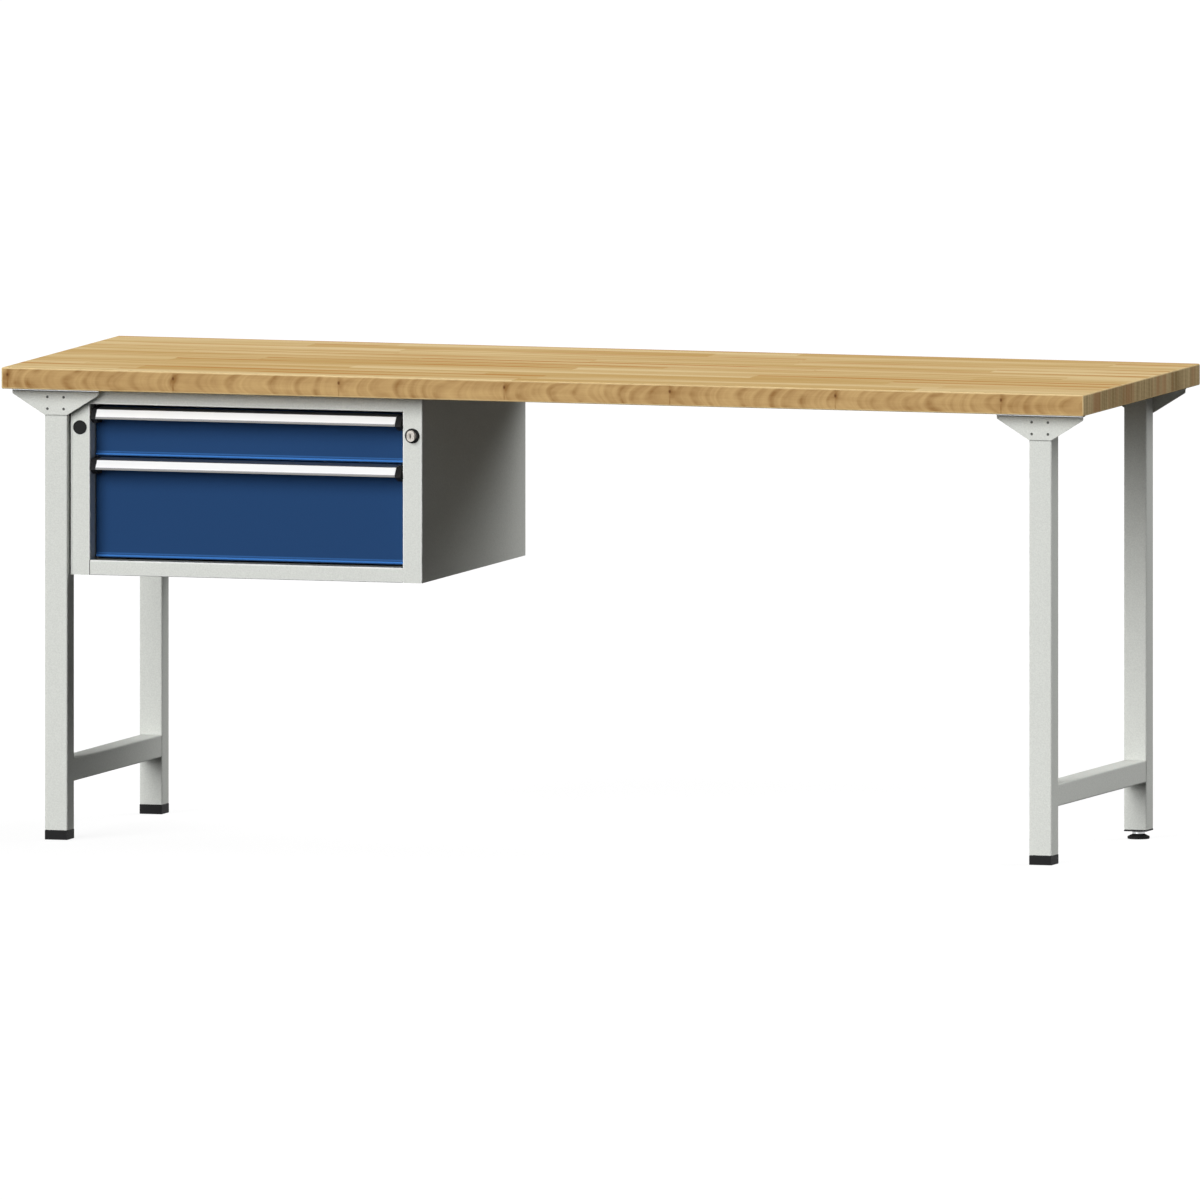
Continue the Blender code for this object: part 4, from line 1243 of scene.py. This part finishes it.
class BENCH_OT_stage(BenchOperator):
    """Set the floor, the lights and the camera"""

    bl_idname = "bench.stage"
    bl_label = "Stage"

    def execute(self, context):
        """A white studio: a floor that keeps a soft shadow, two wide lamps and a flat camera."""
        scene = context.scene
        scene.view_settings.view_transform = "Standard"
        self.floor(reach=60.0, gap=0.0005)
        self.lamp("key_lamp", strength=3.44, softness=44.0, around=-18.0, up=23.0)
        self.lamp("fill_lamp", strength=2.20, softness=56.0, around=125.0, up=42.0)

        scene.world = bpy.data.worlds.new("white_room")
        tree = emptied_tree(scene.world)
        strength = spread(tree, self.seen(tree), 0.0, 1.0, 0.07, 1.0)
        light = put(tree, "ShaderNodeBackground", {"Color": white, "Strength": strength})
        put(tree, "ShaderNodeOutputWorld", {"Surface": light.outputs[0]})

        camera = bpy.data.cameras.new("camera")
        camera.type = "ORTHO"
        camera.ortho_scale = 2.1192
        camera.clip_end = 200.0
        eye = new_object("camera", camera)
        aim, distance = Vector((-0.0013, 0.0, 0.4222)), 14.0
        eye.location = aim + self.look_from(eye, around=17.131, up=4.798) * distance
        scene.camera = eye
        return {"FINISHED"}

    def look_from(self, thing, around, up):
        """Turns a lamp or camera to look in from a bearing and a height in degrees."""
        around, up = math.radians(around), math.radians(up)
        back = Vector((math.sin(around) * math.cos(up), -math.cos(around) * math.cos(up), math.sin(up)))
        thing.rotation_euler = back.to_track_quat("Z", "Y").to_euler()
        return back

    def lamp(self, name, strength, softness, around, up):
        """A far, wide lamp; around is its bearing from the front in degrees, up its height."""
        light = bpy.data.lights.new(name, "SUN")
        light.energy = strength
        light.angle = math.radians(softness)
        self.look_from(new_object(name, light), around, up)

    def seen(self, tree):
        """1 for the rays that see the background: camera, mirror and glass rays."""
        rays = put(tree, "ShaderNodeLightPath").outputs
        mirrored = maths(tree, "MAXIMUM", rays["Is Glossy Ray"], rays["Is Transmission Ray"])
        return maths(tree, "MAXIMUM", rays["Is Camera Ray"], mirrored)

    def floor(self, reach, gap):
        """A wide floor, a hair below the bench."""
        mesh = bpy.data.meshes.new("floor")
        outline = [(-reach, -reach, 0), (reach, -reach, 0), (reach, reach, 0), (-reach, reach, 0)]
        mesh.from_pydata(outline, [], [(0, 1, 2, 3)])
        mesh.materials.append(self.floor_paint())
        floor = new_object("floor", mesh)
        floor.location.z = bench_low.z - gap

    def floor_paint(self):
        """White to look at, grey to the light that it throws back, and clear from below."""
        material = bpy.data.materials.new("floor_paint")
        tree = emptied_tree(material)
        seen = self.seen(tree)
        cloud = noise(tree, put(tree, "ShaderNodeTexCoord").outputs["Object"], 0.7)
        shade = spread(tree, seen, 0.0, 1.0, 0.09, 0.15)
        shade = times(tree, shade, spread(tree, cloud, 0.0, 1.0, 0.98, 1.02))
        grey = put(tree, "ShaderNodeCombineColor", {"Red": shade, "Green": shade, "Blue": shade})
        matt = put(tree, "ShaderNodeBsdfDiffuse", {"Color": grey.outputs["Color"]})
        glow = put(tree, "ShaderNodeEmission", {"Color": white, "Strength": times(tree, seen, 0.90)})
        lit = put(tree, "ShaderNodeAddShader", {0: matt.outputs[0], 1: glow.outputs[0]})
        below = put(tree, "ShaderNodeNewGeometry").outputs["Backfacing"]
        clear = put(tree, "ShaderNodeBsdfTransparent")
        either = put(tree, "ShaderNodeMixShader", {0: below, 1: lit.outputs[0], 2: clear.outputs[0]})
        put(tree, "ShaderNodeOutputMaterial", {"Surface": either.outputs[0]})
        return material


operators = (
    BENCH_OT_worktop,
    BENCH_OT_frames,
    BENCH_OT_brackets,
    BENCH_OT_feet,
    BENCH_OT_cabinet,
    BENCH_OT_lock,
    BENCH_OT_slides,
    BENCH_OT_drawers,
    BENCH_OT_handles,
    BENCH_OT_stage,
)


class BENCH_PT_panel(bpy.types.Panel):
    """The bench's sizes, colours and operators"""

    bl_idname = "BENCH_PT_panel"
    bl_label = "Workbench"
    bl_space_type = "VIEW_3D"
    bl_region_type = "UI"
    bl_category = "Workbench"

    def draw(self, context):
        """Lists the settings, then one button for each operator."""
        layout = self.layout
        for group_name in ("bench_sizes", "bench_colours"):
            settings = getattr(context.scene, group_name)
            box = layout.box()
            for key in settings.bl_rna.properties.keys():
                if key not in ("rna_type", "name"):
                    box.prop(settings, key)
        for operator in operators:
            layout.operator(operator.bl_idname)


classes = (BenchSizes, BenchColours, *operators, BENCH_PT_panel)


def register():
    """Adds the classes and the scene's settings to Blender."""
    for cls in classes:
        bpy.utils.register_class(cls)
    bpy.types.Scene.bench_sizes = PointerProperty(type=BenchSizes)
    bpy.types.Scene.bench_colours = PointerProperty(type=BenchColours)


def unregister():
    """Takes them out again."""
    del bpy.types.Scene.bench_colours
    del bpy.types.Scene.bench_sizes
    for cls in reversed(classes):
        bpy.utils.unregister_class(cls)


def main():
    """Registers the classes and makes every piece in order."""
    register()
    bpy.ops.bench.worktop()
    bpy.ops.bench.frames()
    bpy.ops.bench.brackets()
    bpy.ops.bench.feet()
    bpy.ops.bench.cabinet()
    bpy.ops.bench.lock()
    bpy.ops.bench.slides()
    bpy.ops.bench.drawers()
    bpy.ops.bench.handles()
    bpy.ops.bench.stage()
    bpy.context.view_layer.update()


if __name__ == "__main__":
    main()
